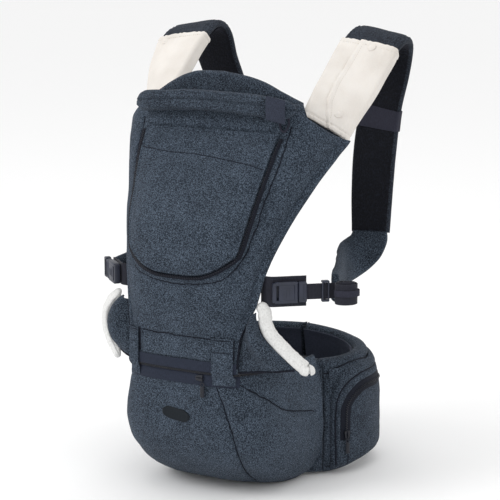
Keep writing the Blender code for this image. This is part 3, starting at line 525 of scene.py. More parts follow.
def onto(surface, pts, lift=0.0):
    """points and normals of a finished piece next to pts (drawing frame)"""
    q, n = [], []
    for p in np.asarray(pts, float):
        hit = SURF[surface].find_nearest(Vector(p + SHIFT))
        nn = np.array(hit[1])
        q.append(np.array(hit[0]) - SHIFT)
        n.append(nn)
    return np.array(q), np.array(n)


SEWN = {}


def sew(surface, line, side=0.0, pitch=0.0036, group="thread", outward=None, rad=0.00042, body=None):
    """stitches along a line on a piece; side moves the row of stitches across the line"""
    L = resample(line, pitch / 2)
    if len(L) < 4:
        return
    q, n = onto(surface, L)
    if outward is not None:
        out = np.asarray(outward, float)
        n = np.where((n @ out)[:, None] < 0, -n, n) if out.ndim == 1 else n
    t = np.gradient(q, axis=0)
    t /= np.maximum(np.linalg.norm(t, axis=1, keepdims=True), 1e-12)
    if side:
        q, n2 = onto(surface, q + np.cross(n, t) * side)
        n = n2 if outward is None else np.where((n2 @ np.asarray(outward, float))[:, None] < 0, -n2, n2)
    key = (body or BODY[surface], group)
    for i in range(1, len(q) - 1, 2):
        d = q[i + 1] - q[i - 1]
        ln = np.linalg.norm(d)
        if ln < pitch * 0.3 or ln > pitch * 2.5:
            continue
        SEWN.setdefault(key, []).append((q[i] + n[i] * rad * 0.35, d / ln, n[i], pitch * 0.66, rad))


SHADE_CORDS = {}


def shade_cord(surface, line, rad=0.0007, mat="tape_dark", body=None):
    """dark tube laid in a seam groove: painted seam shade, a dark line standing for the shadow at the bottom of the
    seam
    """
    q, n = onto(surface, resample(line, 0.0022))
    for _ in range(2):
        q[1:-1] = (q[:-2] + 2 * q[1:-1] + q[2:]) / 4
    SHADE_CORDS.setdefault((body or BODY[surface], mat), []).append(tube_of(q, rad, 6, 0.8, up=n))


def finish_stitches():
    # the painted seam-shade tubes, joined into one object per body and material
    for (body, mat), parts in sorted(SHADE_CORDS.items()):
        joined(f"seam_{body}_{mat}", parts, mat, body)
    for (body, group), rows in sorted(SEWN.items()):
        V, F, k = [], [], 0
        for c, t, n, ln, r in rows:
            s = np.cross(t, n)
            s /= max(np.linalg.norm(s), 1e-9)
            u = np.cross(s, t)
            V.append(c - t * ln / 2 - u * r * 0.6)
            for z, w in ((-0.34, 0.85), (0.34, 0.85)):
                for a in range(5):
                    an = 2 * math.pi * a / 5 + 0.3
                    V.append(c + t * ln * z + (s * math.cos(an) + u * math.sin(an)) * r * w)
            V.append(c + t * ln / 2 - u * r * 0.6)
            F += [(k, k + 1 + (a + 1) % 5, k + 1 + a) for a in range(5)]
            F += [(k + 1 + a, k + 1 + (a + 1) % 5, k + 6 + (a + 1) % 5, k + 6 + a) for a in range(5)]
            F += [(k + 6 + a, k + 6 + (a + 1) % 5, k + 11) for a in range(5)]
            k += 12
        me = bpy.data.meshes.new("stitching")
        me.from_pydata((np.array(V) + SHIFT).tolist(), [], F)
        bm = bmesh.new()
        bm.from_mesh(me)
        bmesh.ops.recalc_face_normals(bm, faces=bm.faces)
        bm.to_mesh(me)
        bm.free()
        me.materials.append(MATS[group])
        me.polygons.foreach_set("use_smooth", [True] * len(me.polygons))
        o = bpy.data.objects.new(f"stitching_{body}_{group}", me)
        bpy.context.scene.collection.objects.link(o)
        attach(o, body)


# ------------------------------------------------------------ shape of parts
RING_A, RING_B, RING_YC = 0.143, 0.113, 0.040
BELT_T = 0.020


def ring_pt(a, z, off=0.0):
    a, z = np.asarray(a, float), np.asarray(z, float)
    off = off - 0.011 * np.clip((z - 0.095) / 0.065, 0.0, 1.0) ** 1.4
    s, c = np.sin(np.radians(a)), np.cos(np.radians(a))
    nx, ny = RING_B * s, -RING_A * c
    ln = np.hypot(nx, ny)
    return np.stack(np.broadcast_arrays(RING_A * s + off * nx / ln, RING_YC - RING_B * c + off * ny / ln, z), -1)


def ring_n(a):
    a = np.asarray(a, float)
    nx, ny = RING_B * np.sin(np.radians(a)), -RING_A * np.cos(np.radians(a))
    ln = np.hypot(nx, ny)
    return np.stack([nx / ln, ny / ln, np.zeros_like(nx)], -1)


def belt_top(a):
    return herm([0, 50, 100, 140, 180], [0.156, 0.156, 0.158, 0.161, 0.164], np.abs(a))


def belt_bot(a):
    return herm([0, 55, 95, 180], [0.003, 0.003, 0.013, 0.017], np.abs(a))


def wing(name, a0, a1, n, rep):
    """padded belt: pillow section, a top facing and a sewn bottom edge"""
    aa = a0 + (a1 - a0) * ends(n, 0.32, 0.006)
    rings = []
    for a in aa:
        zt, zb = float(belt_top(a)), float(belt_bot(a))
        sec = dense(np.array(rrect(BELT_T, zt - zb, 0.0088, 5, -BELT_T / 2, (zt + zb) / 2)), 160)
        rings.append(ring_pt(a, sec[:, 1], sec[:, 0]))
    R = np.array(rings)
    C = R.mean(axis=1, keepdims=True)
    nn = ring_n(aa)[:, None, :]
    # pull in at the ends so that the rim is closed and round
    s = np.minimum(np.abs(aa - a0), np.abs(aa - a1)) * 0.0024
    k = np.sqrt(np.clip(1 - (1 - np.clip(s / 0.005, 0, 1)) ** 2, 0.02, 1))
    d = R - C
    dn = (d * nn).sum(axis=2, keepdims=True)
    R = C + d + nn * dn * (k[:, None, None] - 1)
    rim = belt_top(aa) - 0.0085
    if name.endswith("right"):
        R_ = spline([(45, 0.147), (56, 0.139), (66, 0.146), (84, 0.1505), (106, 0.1455), (131, 0.1385), (155, 0.141), (182, 0.148)], 8)
        rim = np.interp(aa, R_[:, 0], R_[:, 1])
    lines = [ring_pt(aa, rim, 0.0), ring_pt(aa, belt_bot(aa) + 0.0075, 0.0)]
    h = seams(R, lines, 0.0024, 0.0021, 0.0012, 0.012)
    side = np.sign(dn[:, :, 0])
    h = h + 0.0004 * fbm(R, 28, 1.0)
    h = np.where(side > 0, h, h * 0.3)
    R = R + nn * (h * np.where(side > 0, 1, -1))[:, :, None]
    return loft(name, R, "melange_deep", "hip_belt", rep, "melange_fabric"), lines


for nm, a0, a1 in (("waist_wing_right", 52.3, 179.3), ("waist_wing_left", -52.3, -179.3)):
    _, ls = wing(nm, a0, a1, 140, nm.replace("wing", "belt"))
    for ln, dz in ((ls[0], 0.0022), (ls[1], -0.0022)):
        q = ln.copy()
        q[:, 2] += dz
        sew(nm, q, pitch=0.0040)
        # painted shade: dark tube in the groove of each rim seam
        shade_cord(nm, ln[3:-3], 0.0010)
_, ls = wing("belly_cushion", -53.2, 53.2, 90, "belly_pad")

# smooth lining inside the ring, sewn down in long soft channels
for side, s in (("right", 1.0), ("left", -1.0)):
    a0, a1 = 0.4 * s, 178.8 * s
    aa = a0 + (a1 - a0) * ends(90, 0.34, 0.0013)
    q = ends(44, 0.14, 0.0013)
    A, Q = np.meshgrid(aa, q, indexing="ij")
    zb, zt = belt_bot(A) + 0.006, belt_top(A) - 0.006
    Z = zb + (zt - zb) * Q
    P = ring_pt(A, Z, -BELT_T - 0.0003)
    N = -ring_n(A)
    lines = [ring_pt(aa, belt_bot(aa) + 0.006 + (belt_top(aa) - belt_bot(aa) - 0.012) * v, -BELT_T) for v in (0.07, 0.93)]
    lines += [ring_pt(np.full(20, s * g), np.linspace(0.02, 0.15, 20), -BELT_T) for g in (55, 100, 145)]
    f = 0.0024 + seams(P, lines, 0.0010, 0.0016, 0.0012, 0.014) + 0.0003 * fbm(P, 40, 3)
    slab(f"belt_inner_{side}", P, f, 0.0, "lining", "hip_belt", f"belt_lining_{side}", "navy_lining", N=N)
    for ln in lines[:2]:
        sew(f"belt_inner_{side}", ln, pitch=0.0042)

# zip pocket on the right wing
K = math.radians(1.0) * 0.143
PA0, PA1 = 57.0, 138.0
ua, uq = ends(130, 0.2, 0.004), ends(90, 0.13, 0.004)
A, Q = np.meshgrid(PA0 + (PA1 - PA0) * ua, uq, indexing="ij")
ZB, ZT = belt_bot(A) + 0.006, belt_top(A) - 0.012
Z = ZB + (ZT - ZB) * Q
X0, X1, RR = PA0 * K, PA1 * K, 0.046
XX = A * K
d = np.minimum(np.minimum(XX - X0, X1 - XX), np.minimum(ZT - Z, Z - ZB))
corner = (XX < X0 + RR) & (Z > ZT - RR)
d = np.where(corner, np.minimum(d, RR - np.hypot(XX - (X0 + RR), Z - (ZT - RR))), d)
lift = np.sqrt(np.clip(1 - (1 - np.clip(d / 0.011, 0, 1)) ** 2, 0, 1))
P = ring_pt(A, Z)
ZIP = spline([(114, 0.116), (97, 0.1180), (84, 0.1185), (74, 0.111), (67.0, 0.096), (66, 0.072), (66, 0.048)], 10)
BORD = spline([(130, 0.132), (102, 0.1345), (82, 0.134), (69, 0.125), (61.5, 0.109), (59.5, 0.085), (59.5, 0.050), (60, 0.014)], 10)
zl, bl = ring_pt(ZIP[:, 0], ZIP[:, 1], 0.0075), ring_pt(BORD[:, 0], BORD[:, 1], 0.006)
f = 0.0006 + 0.0074 * lift + seams(P + ring_n(A) * 0.007, [bl], 0.0022, 0.0019, 0.0010, 0.010)
f = f - 0.0014 * np.exp(-(near(P + ring_n(A) * 0.0075, zl) / 0.0080) ** 4) + 0.0006 * fbm(P, 45, 5) * lift
slab("side_pocket", P, np.maximum(f, 0.0006), 0.0003, "melange_deep", "hip_belt", "pocket_body", "melange_fabric", N=ring_n(A), rim=False)
# painted shade: dark tubes in the pocket's border seam and below the zip end
shade_cord("side_pocket", bl, 0.0013)
shade_cord("side_pocket", ring_pt(np.full(10, 67.5), np.linspace(0.047, 0.012, 10), 0.0075), 0.0009)
sew("side_pocket", bl, side=0.0030)


def ring_band(name, path, half, o0, o1, mat, rep, slot, cols=9):
    k = math.radians(1.0) * 0.13
    xy = np.column_stack([path[:, 0] * k, path[:, 1]])
    t = np.gradient(xy, axis=0)
    t /= np.linalg.norm(t, axis=1, keepdims=True)
    nn = np.column_stack([-t[:, 1], t[:, 0]])
    S = np.linspace(-1, 1, cols)
    G = xy[:, None, :] + nn[:, None, :] * (half * S)[None, :, None]
    P = ring_pt(G[..., 0] / k, G[..., 1])
    ridge = 0.0009 * np.exp(-(S / 0.22) ** 2)[None, :]
    return slab(name, P, o1 + ridge, o0, mat, "hip_belt", rep, slot, N=ring_n(G[..., 0] / k))


ring_band("pocket_zip", ZIP, 0.0082, 0.0064, 0.0090, "tape_dark", "pocket_zip_tape", "zip_tape")


def teeth_rows(surface, line, pitch=0.0016, size=(0.0011, 0.0024, 0.0010)):
    q, n = onto(surface, resample(line, pitch))
    t = np.gradient(q, axis=0)
    t /= np.linalg.norm(t, axis=1, keepdims=True)
    parts = []
    for i in range(len(q)):
        s = np.cross(n[i], t[i])
        s /= np.linalg.norm(s)
        off = 0.0007 * (1 if i % 2 else -1)
        v = []
        c = q[i] + n[i] * 0.0002 + s * off
        for a, b_, cc in ((-1, -1, -1), (1, -1, -1), (1, 1, -1), (-1, 1, -1), (-1, -1, 1), (1, -1, 1), (1, 1, 1), (-1, 1, 1)):
            k = 0.75 if cc > 0 else 1.0
            v.append(c + t[i] * a * size[0] / 2 * k + s * b_ * size[1] / 2 * k + n[i] * cc * size[2] / 2)
        parts.append((v, [(0, 3, 2, 1), (4, 5, 6, 7), (0, 1, 5, 4), (1, 2, 6, 5), (2, 3, 7, 6), (3, 0, 4, 7)]))
    return parts


joined("pocket_zip_teeth", teeth_rows("pocket_zip", ring_pt(ZIP[:, 0], ZIP[:, 1], 0.0095)), "zipper", "hip_belt")


def slider(name, c, side, out, up, body, rep, slot="zip_plastic"):
    """zip slider: a waisted shell with a bridge for the pull; up is the way it runs"""
    c, side, out, up = (np.asarray(v, float) for v in (c, side, out, up))
    secs = [(-0.0050, 0.0052), (-0.0040, 0.0066), (0.0005, 0.0076), (0.0040, 0.0086), (0.0050, 0.0076)]
    rings = [[c + side * x + out * y + up * z for x, y in rrect(w, 0.0026, 0.0009, 3)] for z, w in secs]
    a = loft("tmp", rings, "zipper", body, ride=False)
    v = np.array([q.co for q in a.data.vertices]) - SHIFT
    f = [tuple(p.vertices) for p in a.data.polygons]
    bpy.data.objects.remove(a, do_unlink=True)
    bridge = tube_of([c + up * z + out * h for z, h in ((0.0034, 0.0012), (0.0028, 0.0022), (0.0010, 0.0027),
                                                        (-0.0018, 0.0026), (-0.0032, 0.0020), (-0.0036, 0.0012))],
                     0.0008, 6, 1.6, up=out)
    return joined(name, [(v, f), bridge], "zipper", body, rep, slot)


def pull(name, top, side, out, down, body, rep, slot="zip_plastic", length=0.0200):
    """pull tab: a small ring, then a grip with moulded ribs"""
    top, side, out, down = (np.asarray(v, float) for v in (top, side, out, down))
    parts = [tube_of([top + side * 0.0024 * math.cos(a) + down * (0.0022 + 0.0026 * math.sin(a))
                      for a in np.linspace(0, 2 * math.pi, 17)[:-1]], 0.0007, 6, up=out, closed=True)]
    parts.append(rbox(top + down * (0.0048 + (length - 0.0048) / 2), side, out, down, 0.0058, 0.0020, length - 0.0048, 0.0008))
    for k in range(4):
        parts.append(rbox(top + down * (0.0085 + 0.0026 * k) + out * 0.0010, side, out, down, 0.0046, 0.0008, 0.0011, 0.0003))
    return joined(name, parts, "zipper", body, rep, slot)


pn = ring_n(66.0)
pt = np.array([-pn[1], pn[0], 0.0])
pc = ring_pt(66.0, 0.056, 0.0112)
slider("pocket_zip_slider", pc, pt, pn, V3(0, 0, 1), "pocket_slider_body", "pocket_slider")
pull("pocket_zip_pull", ring_pt(66.0, 0.0499, 0.0129), pt, pn, V3(0, 0, -1), "pocket_pull_body", "pocket_pull")

# ------------------------------------------------------------------ hip seat
SZ = [0.0015, 0.010, 0.025, 0.045, 0.070, 0.100, 0.135, 0.169]
SW = [0.0900, 0.1000, 0.1080, 0.1130, 0.1150, 0.1140, 0.1110, 0.1050]
SF = [-0.1100, -0.1330, -0.1600, -0.1830, -0.1990, -0.2060, -0.2060, -0.2030]
SN = [2.6, 2.8, 3.0, 3.4, 3.8, 4.0, 4.0, 4.2]


def ring_y(x):
    return RING_YC - RING_B * np.sqrt(np.clip(1 - (x / RING_A) ** 2, 0, 1))


def seat_yb(z):
    return np.minimum(-0.0335, ring_y(herm(SZ, SW, z) - 0.004) - 0.0025)


def seat_pt(u, z, inset=0.0):
    w = herm(SZ, SW, z) - inset
    yb = seat_yb(z)
    ln = (yb - herm(SZ, SF, z)) - inset
    n = herm(SZ, SN, z)
    a = np.pi * np.asarray(u, float)
    c, s = np.cos(a), np.clip(np.sin(a), 0, 1)
    return np.stack(np.broadcast_arrays(np.sign(c) * np.abs(c) ** (2 / n) * w, yb - ln * s ** (2 / n), z), -1)


def seat_front(x, z):
    w = herm(SZ, SW, z)
    yb = seat_yb(z)
    ln = yb - herm(SZ, SF, z)
    n = herm(SZ, SN, z)
    return np.stack(np.broadcast_arrays(x, yb - ln * (1 - np.clip(np.abs(x / w), 0, 1) ** n) ** (1 / n), z), -1)


def even_u(z, q):
    us = np.linspace(0, 1, 500)
    p = seat_pt(us, np.full_like(us, z))
    d = np.concatenate([[0], np.cumsum(np.linalg.norm(np.diff(p, axis=0), axis=1))])
    return np.interp(q * d[-1], d, us)


zs = np.concatenate([[0.0015, 0.0022, 0.0035, 0.0055], np.linspace(0.008, 0.1655, 100), [0.1675, 0.1685, 0.1690]])
qs = ends(240, 0.42, 0.002)
U = np.array([even_u(z, qs) for z in zs]).T
P = seat_pt(U, np.broadcast_to(zs, U.shape))
N = grid_normals(P, V3(0, -1, 0))
SEAT_SEAMS = [
    spline([seat_pt(u, z) for u, z in ((0.835, 0.166), (0.852, 0.142), (0.905, 0.100), (0.912, 0.062), (0.885, 0.036), (0.86, 0.020))], 12),
    spline([seat_pt(u, z) for u, z in ((0.440, 0.166), (0.428, 0.155), (0.400, 0.128), (0.371, 0.098), (0.352, 0.062), (0.335, 0.030), (0.32, 0.012))], 12),
    spline([seat_pt(u, z) for u, z in ((0.345, 0.1665), (0.3335, 0.161), (0.255, 0.1480), (0.1816, 0.136), (0.0900, 0.114), (0.0040, 0.0955))], 12),
    spline([seat_pt(u, z) for u, z in ((0.655, 0.1665), (0.720, 0.155), (0.8184, 0.136), (0.9100, 0.114), (0.9960, 0.0955))], 12),
    spline([seat_pt(u, 0.0045) for u in np.linspace(0.01, 0.99, 60)], 2),
]
f = seams(P, SEAT_SEAMS, 0.0026, 0.0021, 0.0028, 0.020)
f = f + 0.0011 * fbm(P, 14, 11, 3) * smooth((P[..., 2] - 0.0) / 0.03) * smooth((0.169 - P[..., 2]) / 0.02)
# soft pull creases that run down from the side seam and along the lower edge
ax = np.stack([P[..., 0] * 60, P[..., 1] * 60, P[..., 2] * 9], -1)
f = f + 0.0007 * fbm(ax, 1.0, 4, 2) * smooth((0.15 - P[..., 2]) / 0.05)
f = np.where(P[..., 2] < 0.006, np.minimum(f, 0.0), f)
flat_ = smooth((P[..., 2] - 0.136) / 0.010) * smooth((0.090 - np.abs(P[..., 0])) / 0.006)
f = f * (1 - 0.7 * flat_)
flat_ = smooth((P[..., 2] - 0.1505) / 0.005) * smooth((0.090 - np.abs(P[..., 0])) / 0.004)
f = f * (1 - flat_) + 0.0003 * flat_
slab("seat_cover", P, f, -0.0038, "melange", "hip_belt", "hip_seat_cover", "melange_fabric", N=N)
for ln in SEAT_SEAMS[:4]:
    # painted shade: dark tube in the groove of each seat seam
    shade_cord("seat_cover", ln)
    sew("seat_cover", ln, side=0.0034, outward=None)


def seat_ring(z, inset, n=40, nb=20):
    us = even_u(z, np.linspace(0, 1, n + 1))
    w = herm(SZ, SW, z) - inset
    yb = float(min(seat_yb(z), ring_y(w))) - 0.0035
    ln = (yb - herm(SZ, SF, z)) - inset
    nn = herm(SZ, SN, z)
    a = np.pi * us
    c, s = np.cos(a), np.clip(np.sin(a), 0, 1)
    pts = [V3(np.sign(c[i]) * abs(c[i]) ** (2 / nn) * w, yb - ln * s[i] ** (2 / nn), 0) for i in range(len(us))]
    wl, yl = abs(pts[0][0]), pts[0][1]
    for k in range(1, nb):
        x = -wl + 2 * wl * k / nb
        pts.append(V3(x, min(float(ring_y(x)) - 0.0034, yl - 0.0004), 0))
    return np.array(pts)


def cushion(name, z, inset, z0, z1, r, mat, rep, slot, crown=0.0, rings=5):
    """flat pad with rolled edges from an outline"""
    base = seat_ring(z, inset)
    c = base.mean(axis=0)
    rows_ = []
    for k in np.linspace(0, math.pi / 2, rings):
        sh = r * (1 - math.sin(k))
        rows_.append((sh, z0 + r * (1 - math.cos(k))))
    for k in np.linspace(math.pi / 2, 0, rings):
        sh = r * (1 - math.sin(k))
        rows_.append((sh, z1 - r * (1 - math.cos(k))))
    out = []
    dirs = c - base
    dl = np.linalg.norm(dirs, axis=1, keepdims=True)
    for sh, zz in rows_:
        q = base + dirs / dl * sh
        q[:, 2] = zz
        out.append(q)
    for t in np.linspace(0.12, 0.985, 12):
        q = out[2 * rings - 1] + (c - base) * t
        q[:, 2] = z1 + crown * math.sin(min(1.0, t * 1.6) * math.pi / 2)
        out.append(q)
    low = []
    for t in (0.985, 0.5):
        q = out[0] + (c - base) * t
        q[:, 2] = z0
        low.append(q)
    return loft(name, np.array(low + out), mat, "hip_belt", rep, slot)


rows_ = []
for zz in np.concatenate([[0.0120, 0.0122, 0.0130, 0.0145], np.linspace(0.018, 0.150, 26), [0.1533, 0.1548, 0.1556, 0.1558]]):
    dz = min(zz - 0.0120, 0.1558 - zz, 0.004) / 0.004
    rows_.append(seat_ring(zz, 0.0060 + 0.004 * (1 - math.sqrt(1 - (1 - dz) ** 2))))
    rows_[-1][:, 2] = zz
core = []
for ring_, ks in ((rows_[0], (0.985, 0.5)), (rows_[-1], (0.5, 0.985))):
    core.append([ring_ + (ring_.mean(axis=0) - ring_) * k_ for k_ in ks])
loft("seat_foam", np.array(core[0] + rows_ + core[1]), "foam", "hip_belt", "hip_seat_foam_core", "foam")
cushion("seat_pad", 0.162, 0.0054, 0.1564, 0.1669, 0.0040, "spacer_mesh", "seat_top_pad", "dark_mesh", 0.0016)
cushion("seat_sole", 0.0015, 0.0060, 0.0, 0.0042, 0.0012, "lining", "hip_seat_base", "navy_lining")

# band of zip tape under the panel, with the closed teeth and the slider
def front_band(name, fn, zlo, zhi, xw, o0, o1, mat, body, rep, slot, rows_=7, teeth=None):
    X = np.linspace(-xw, xw, 90)
    Zs = np.linspace(zlo, zhi, rows_)
    P = np.array([[fn(x, z) for z in Zs] for x in X])
    return slab(name, P, o1 + 0.0003 * np.sin(np.linspace(0, math.pi, rows_))[None, :], o0, mat, body, rep, slot,
                toward=V3(0, -1, 0))


front_band("zip_tape_lower", seat_front, 0.1545, 0.1700, 0.0795, 0.0008, 0.0022, "tape", "hip_belt", "lower_zip_tape", "zip_tape")
# painted shade: dark tube along the lower edge of the zip tape
shade_cord("zip_tape_lower", [seat_front(x, 0.1552) for x in np.linspace(-0.078, 0.078, 60)], 0.0007)
sew("zip_tape_lower", [seat_front(x, 0.1575) for x in np.linspace(-0.077, 0.077, 60)], outward=V3(0, -1, 0), rad=0.00034)

# badge patch: a plain rubber oval with a raised rim
bz, bx = 0.1130, -0.0045
T_, S_ = np.meshgrid(ends(34, 0.041, 0.001) * 2 - 1, ends(16, 0.017, 0.001) * 2 - 1, indexing="ij")
HW = 0.0082 * (1 - np.abs(T_) ** 5 * 0.55)
BX, BZ = bx + T_ * 0.0205 * (1 - 0.10 * np.abs(S_) ** 4) + S_ * HW * 0.10, bz - T_ * 0.0024 + S_ * HW
P = seat_front(BX, BZ)
rim = np.maximum(np.abs(T_), np.abs(S_))
f = 0.0036 + 0.0005 * np.exp(-((rim - 0.86) / 0.08) ** 2)
slab("badge_patch", P, f, 0.0018, "rubber", "hip_belt", "front_badge", "badge_rubber", toward=V3(0, -1, 0))

SLX = 0.030
sy = float(seat_front(SLX, 0.1645)[1])
slider("front_slider", V3(SLX, sy - 0.0041, 0.1645), V3(0, 0, 1), V3(0, -1, 0), V3(1, 0, 0), "front_zip_slider_body", "front_zip_slider")
pull("front_pull", V3(SLX + 0.0054, sy - 0.0063, 0.1588), V3(1, 0, 0), V3(0, -1, 0), V3(0, 0, -1), "front_zip_pull_body", "front_zip_pull",
     length=0.0185)

# --------------------------------------------------------------- front panel
WZ = [0.165, 0.215, 0.240, 0.257, 0.294, 0.3466, 0.405, 0.440, 0.457, 0.520]
WW = [0.0800, 0.0830, 0.0905, 0.0965, 0.1035, 0.1185, 0.1405, 0.1545, 0.1610, 0.1680]
WE = [-0.1990, -0.1950, -0.1860, -0.1780, -0.1686, -0.1420, -0.1000, -0.0670, -0.0500, -0.0200]
CZ = [0.165, 0.250, 0.300, 0.340, 0.390, 0.440, 0.468, 0.500, 0.520]
CY = [-0.2060, -0.2100, -0.2120, -0.2080, -0.1835, -0.1460, -0.1250, -0.1140, -0.1100]
EZ = [0.165, 0.390, 0.468, 0.520]
EN = [3.4, 3.6, 6.3, 6.3]
FZ = [0.297, 0.307, 0.328, 0.360, 0.390, 0.430, 0.468]
FW = [0.0630, 0.0690, 0.0778, 0.0840, 0.0875, 0.0930, 0.0980]


def panel_pt(x, z):
    x, z = np.asarray(x, float), np.asarray(z, float)
    w, ye, yc, n = herm(WZ, WW, z), herm(WZ, WE, z), herm(CZ, CY, z), herm(EZ, EN, z)
    y = ye - (ye - yc) * (1 - np.clip(np.abs(x / w), 0, 1) ** n)
    return np.stack(np.broadcast_arrays(x, y, z), -1)


def top_z(x):
    return herm([0, 0.106, 0.117, 0.161], [0.499, 0.499, 0.495, 0.457], np.abs(x))


PB = 0.1730
s_ = ends(190, 0.25, 0.002) * 2 - 1
s_ = np.sign(s_) * np.abs(s_) ** 0.92
t_ = ends(190, 0.33, 0.002)
S2, T2 = np.meshgrid(s_, t_, indexing="ij")
ZT2 = top_z(S2 * 0.161)
PX = S2 * herm(WZ, WW, PB + (0.457 - PB) * T2)
PZ2 = PB + (ZT2 - PB) * T2
P = panel_pt(PX, PZ2)
N = grid_normals(P, V3(0, -1, 0))
line = lambda pts, per=12: spline([panel_pt(x, z) for x, z in pts], per)
band = [(0.1102, 0.4784), (0.1068, 0.4332), (0.0985, 0.3900), (0.0950, 0.3600), (0.0875, 0.3280), (0.0740, 0.3040), (0.0520, 0.2900),
        (0.0, 0.2840)]
band = band + [(-x, z) for x, z in reversed(band[:-1])]
PANEL_SEAMS = [
    line([(-0.0780, 0.2178), (-0.0639, 0.2174), (-0.0286, 0.2164), (0.009, 0.2156), (0.0464, 0.2158), (0.0530, 0.2160)]),
    line(band),
]
edge = lambda sgn, off: np.array([panel_pt(sgn * (herm(WZ, WW, z) - off), z) for z in np.linspace(0.178, 0.452, 90)])
PANEL_SEAMS += [edge(1, 0.0075), edge(-1, 0.0075)]
f = seams(P, PANEL_SEAMS, 0.0022, 0.0019, 0.0024, 0.016)
f = f + 0.0009 * fbm(P, 16, 21, 3)
# short creases where the panel is drawn in above the zip and beside the flap
ax = np.stack([P[..., 0] * 70, P[..., 1] * 20, P[..., 2] * 14], -1)
f = f + 0.0008 * fbm(ax, 1.0, 9, 2) * np.exp(-((P[..., 2] - 0.185) / 0.022) ** 2)
FLW = herm(FZ, FW, P[..., 2])
inside = (smooth((FLW + 0.008 - np.abs(P[..., 0])) / 0.004) * smooth((P[..., 2] - 0.288) / 0.006)
          * smooth((0.4735 - P[..., 2]) / 0.003))
f = f * (1 - inside) + 0.0002 * inside
f = np.where(P[..., 2] < 0.189, np.minimum(f, 0.0), f)
low = smooth((0.2250 - P[..., 2]) / 0.008) * np.maximum(smooth((P[..., 0] - 0.044) / 0.004), smooth((-0.054 - P[..., 0]) / 0.004)) * smooth((0.080 - np.abs(P[..., 0])) / 0.003)
f = f * (1 - low)
slab("panel_shell", P, f, -0.0040, "melange", "carrier_panel", "front_panel", "melange_fabric", N=N)
for ln in PANEL_SEAMS[:2]:
    # painted shade: dark tube in the groove of the panel seams
    shade_cord("panel_shell", ln)
sew("panel_shell", PANEL_SEAMS[0], side=0.0028, outward=V3(0, -1, 0))
sew("panel_shell", PANEL_SEAMS[1], side=0.0028, outward=V3(0, -1, 0))
for ln in PANEL_SEAMS[2:]:
    sew("panel_shell", ln, side=0.0, outward=V3(0, -1, 0))
# inner face of the panel: spacer mesh, quilted
lines = [line([(x, z) for z in np.linspace(0.19, 0.48, 20)], 4) for x in (-0.045, 0.0, 0.045)]
fb = -0.0063 - 0.0016 * (1 - np.exp(-(np.min([near(P, ln) for ln in lines], axis=0) / 0.010) ** 2)) - 0.0004 * fbm(P, 30, 2)
slab("panel_inside", P[2:-2, 2:-2], -0.0043, fb[2:-2, 2:-2], "spacer_mesh", "carrier_panel", "panel_lining", "dark_mesh", N=N[2:-2, 2:-2])

X = np.linspace(-0.079, 0.079, 80)
P = np.array([[panel_pt(x, z) for z in np.linspace(0.1732, 0.1870, 10)] for x in X])
slab("zip_tape_upper", P, 0.0020, 0.0003, "tape", "carrier_panel", "upper_zip_tape", "zip_tape", toward=V3(0, -1, 0))
# painted shade: dark tube along the upper edge of the zip tape
shade_cord("zip_tape_upper", panel_pt(X[1:-1], 0.1864), 0.0007)
sew("zip_tape_upper", panel_pt(X, 0.1845), outward=V3(0, -1, 0), rad=0.00034)
# closed teeth: one row on each side of the fold line
zy = lambda x: 0.5 * (seat_front(x, 0.169)[1] + panel_pt(x, 0.1735)[1])
for nm, body, z in (("zip_teeth_lower", "hip_belt", 0.1705), ("zip_teeth_upper", "carrier_panel", 0.1722)):
    parts = []
    for k in range(100):
        x = -0.082 + 0.164 * k / 99
        c = V3(x, float(zy(x)) - 0.0016, z)
        parts.append(rbox(c, V3(1, 0, 0), V3(0, 1, 0), V3(0, 0, 1), 0.0011, 0.0020, 0.0014, 0.0002, 1))
    joined(nm, parts, "zipper", body)


# ------------------------------------------------------------------ vent flap
def flap_grid(inset, top, us, vs, grow=0.0):
    S, T = np.meshgrid(us * 2 - 1, vs, indexing="ij")
    zb = 0.2970 + inset + 0.026 * np.abs(S) ** 4
    Zf = zb + (top - zb) * T
    return panel_pt(S * (herm(FZ, FW, Zf) - inset + grow), Zf), S, T, Zf


P, S, T, Zf = flap_grid(0.0, 0.4685, ends(140, 0.18, 0.0012), ends(140, 0.17, 0.0012))
N = grid_normals(P, V3(0, -1, 0))
FLAP_SEAMS = [line([(-0.0925, 0.4440), (-0.0541, 0.4420), (-0.0062, 0.4412), (0.0475, 0.4365), (0.0925, 0.4284)]),
              line([(-0.0965, 0.4655), (-0.0179, 0.4650), (0.0416, 0.4650), (0.0965, 0.4655)])]
rimline = []
for k in np.linspace(-1, 1, 160):
    a = np.clip(abs(k) * 1.9, 0, 1) if abs(k) < 0.53 else 1.0
    if abs(k) < 0.53:
        sx = math.copysign(a, k) if k else 0.0
        zz = 0.2970 + 0.026 * abs(sx) ** 4 + 0.0045
        rimline.append(panel_pt(sx * (float(herm(FZ, FW, zz)) - 0.0045), zz))
    else:
        zz = 0.3275 + (0.462 - 0.3275) * (abs(k) - 0.53) / 0.47
        rimline.append(panel_pt(math.copysign(float(herm(FZ, FW, zz)) - 0.0045, k), zz))
rimline = np.array(rimline)
f = 0.0044 + seams(P, FLAP_SEAMS + [rimline], 0.0014, 0.0017, 0.0022, 0.018)
f = f + 0.0009 * fbm(P, 18, 31, 3) * smooth((0.468 - Zf) / 0.02)
ax = np.stack([P[..., 0] * 10, P[..., 1] * 10, P[..., 2] * 62], -1)
f = f + 0.0007 * fbm(ax, 1.0, 6, 2) * smooth((0.452 - Zf) / 0.01) * smooth((Zf - 0.400) / 0.03)
slab("flap_cover", P, np.maximum(f, 0.0036), 0.0026, "melange", "vent_flap_body", "vent_flap", "melange_fabric", N=N)
sew("flap_cover", rimline, outward=V3(0, -1, 0))
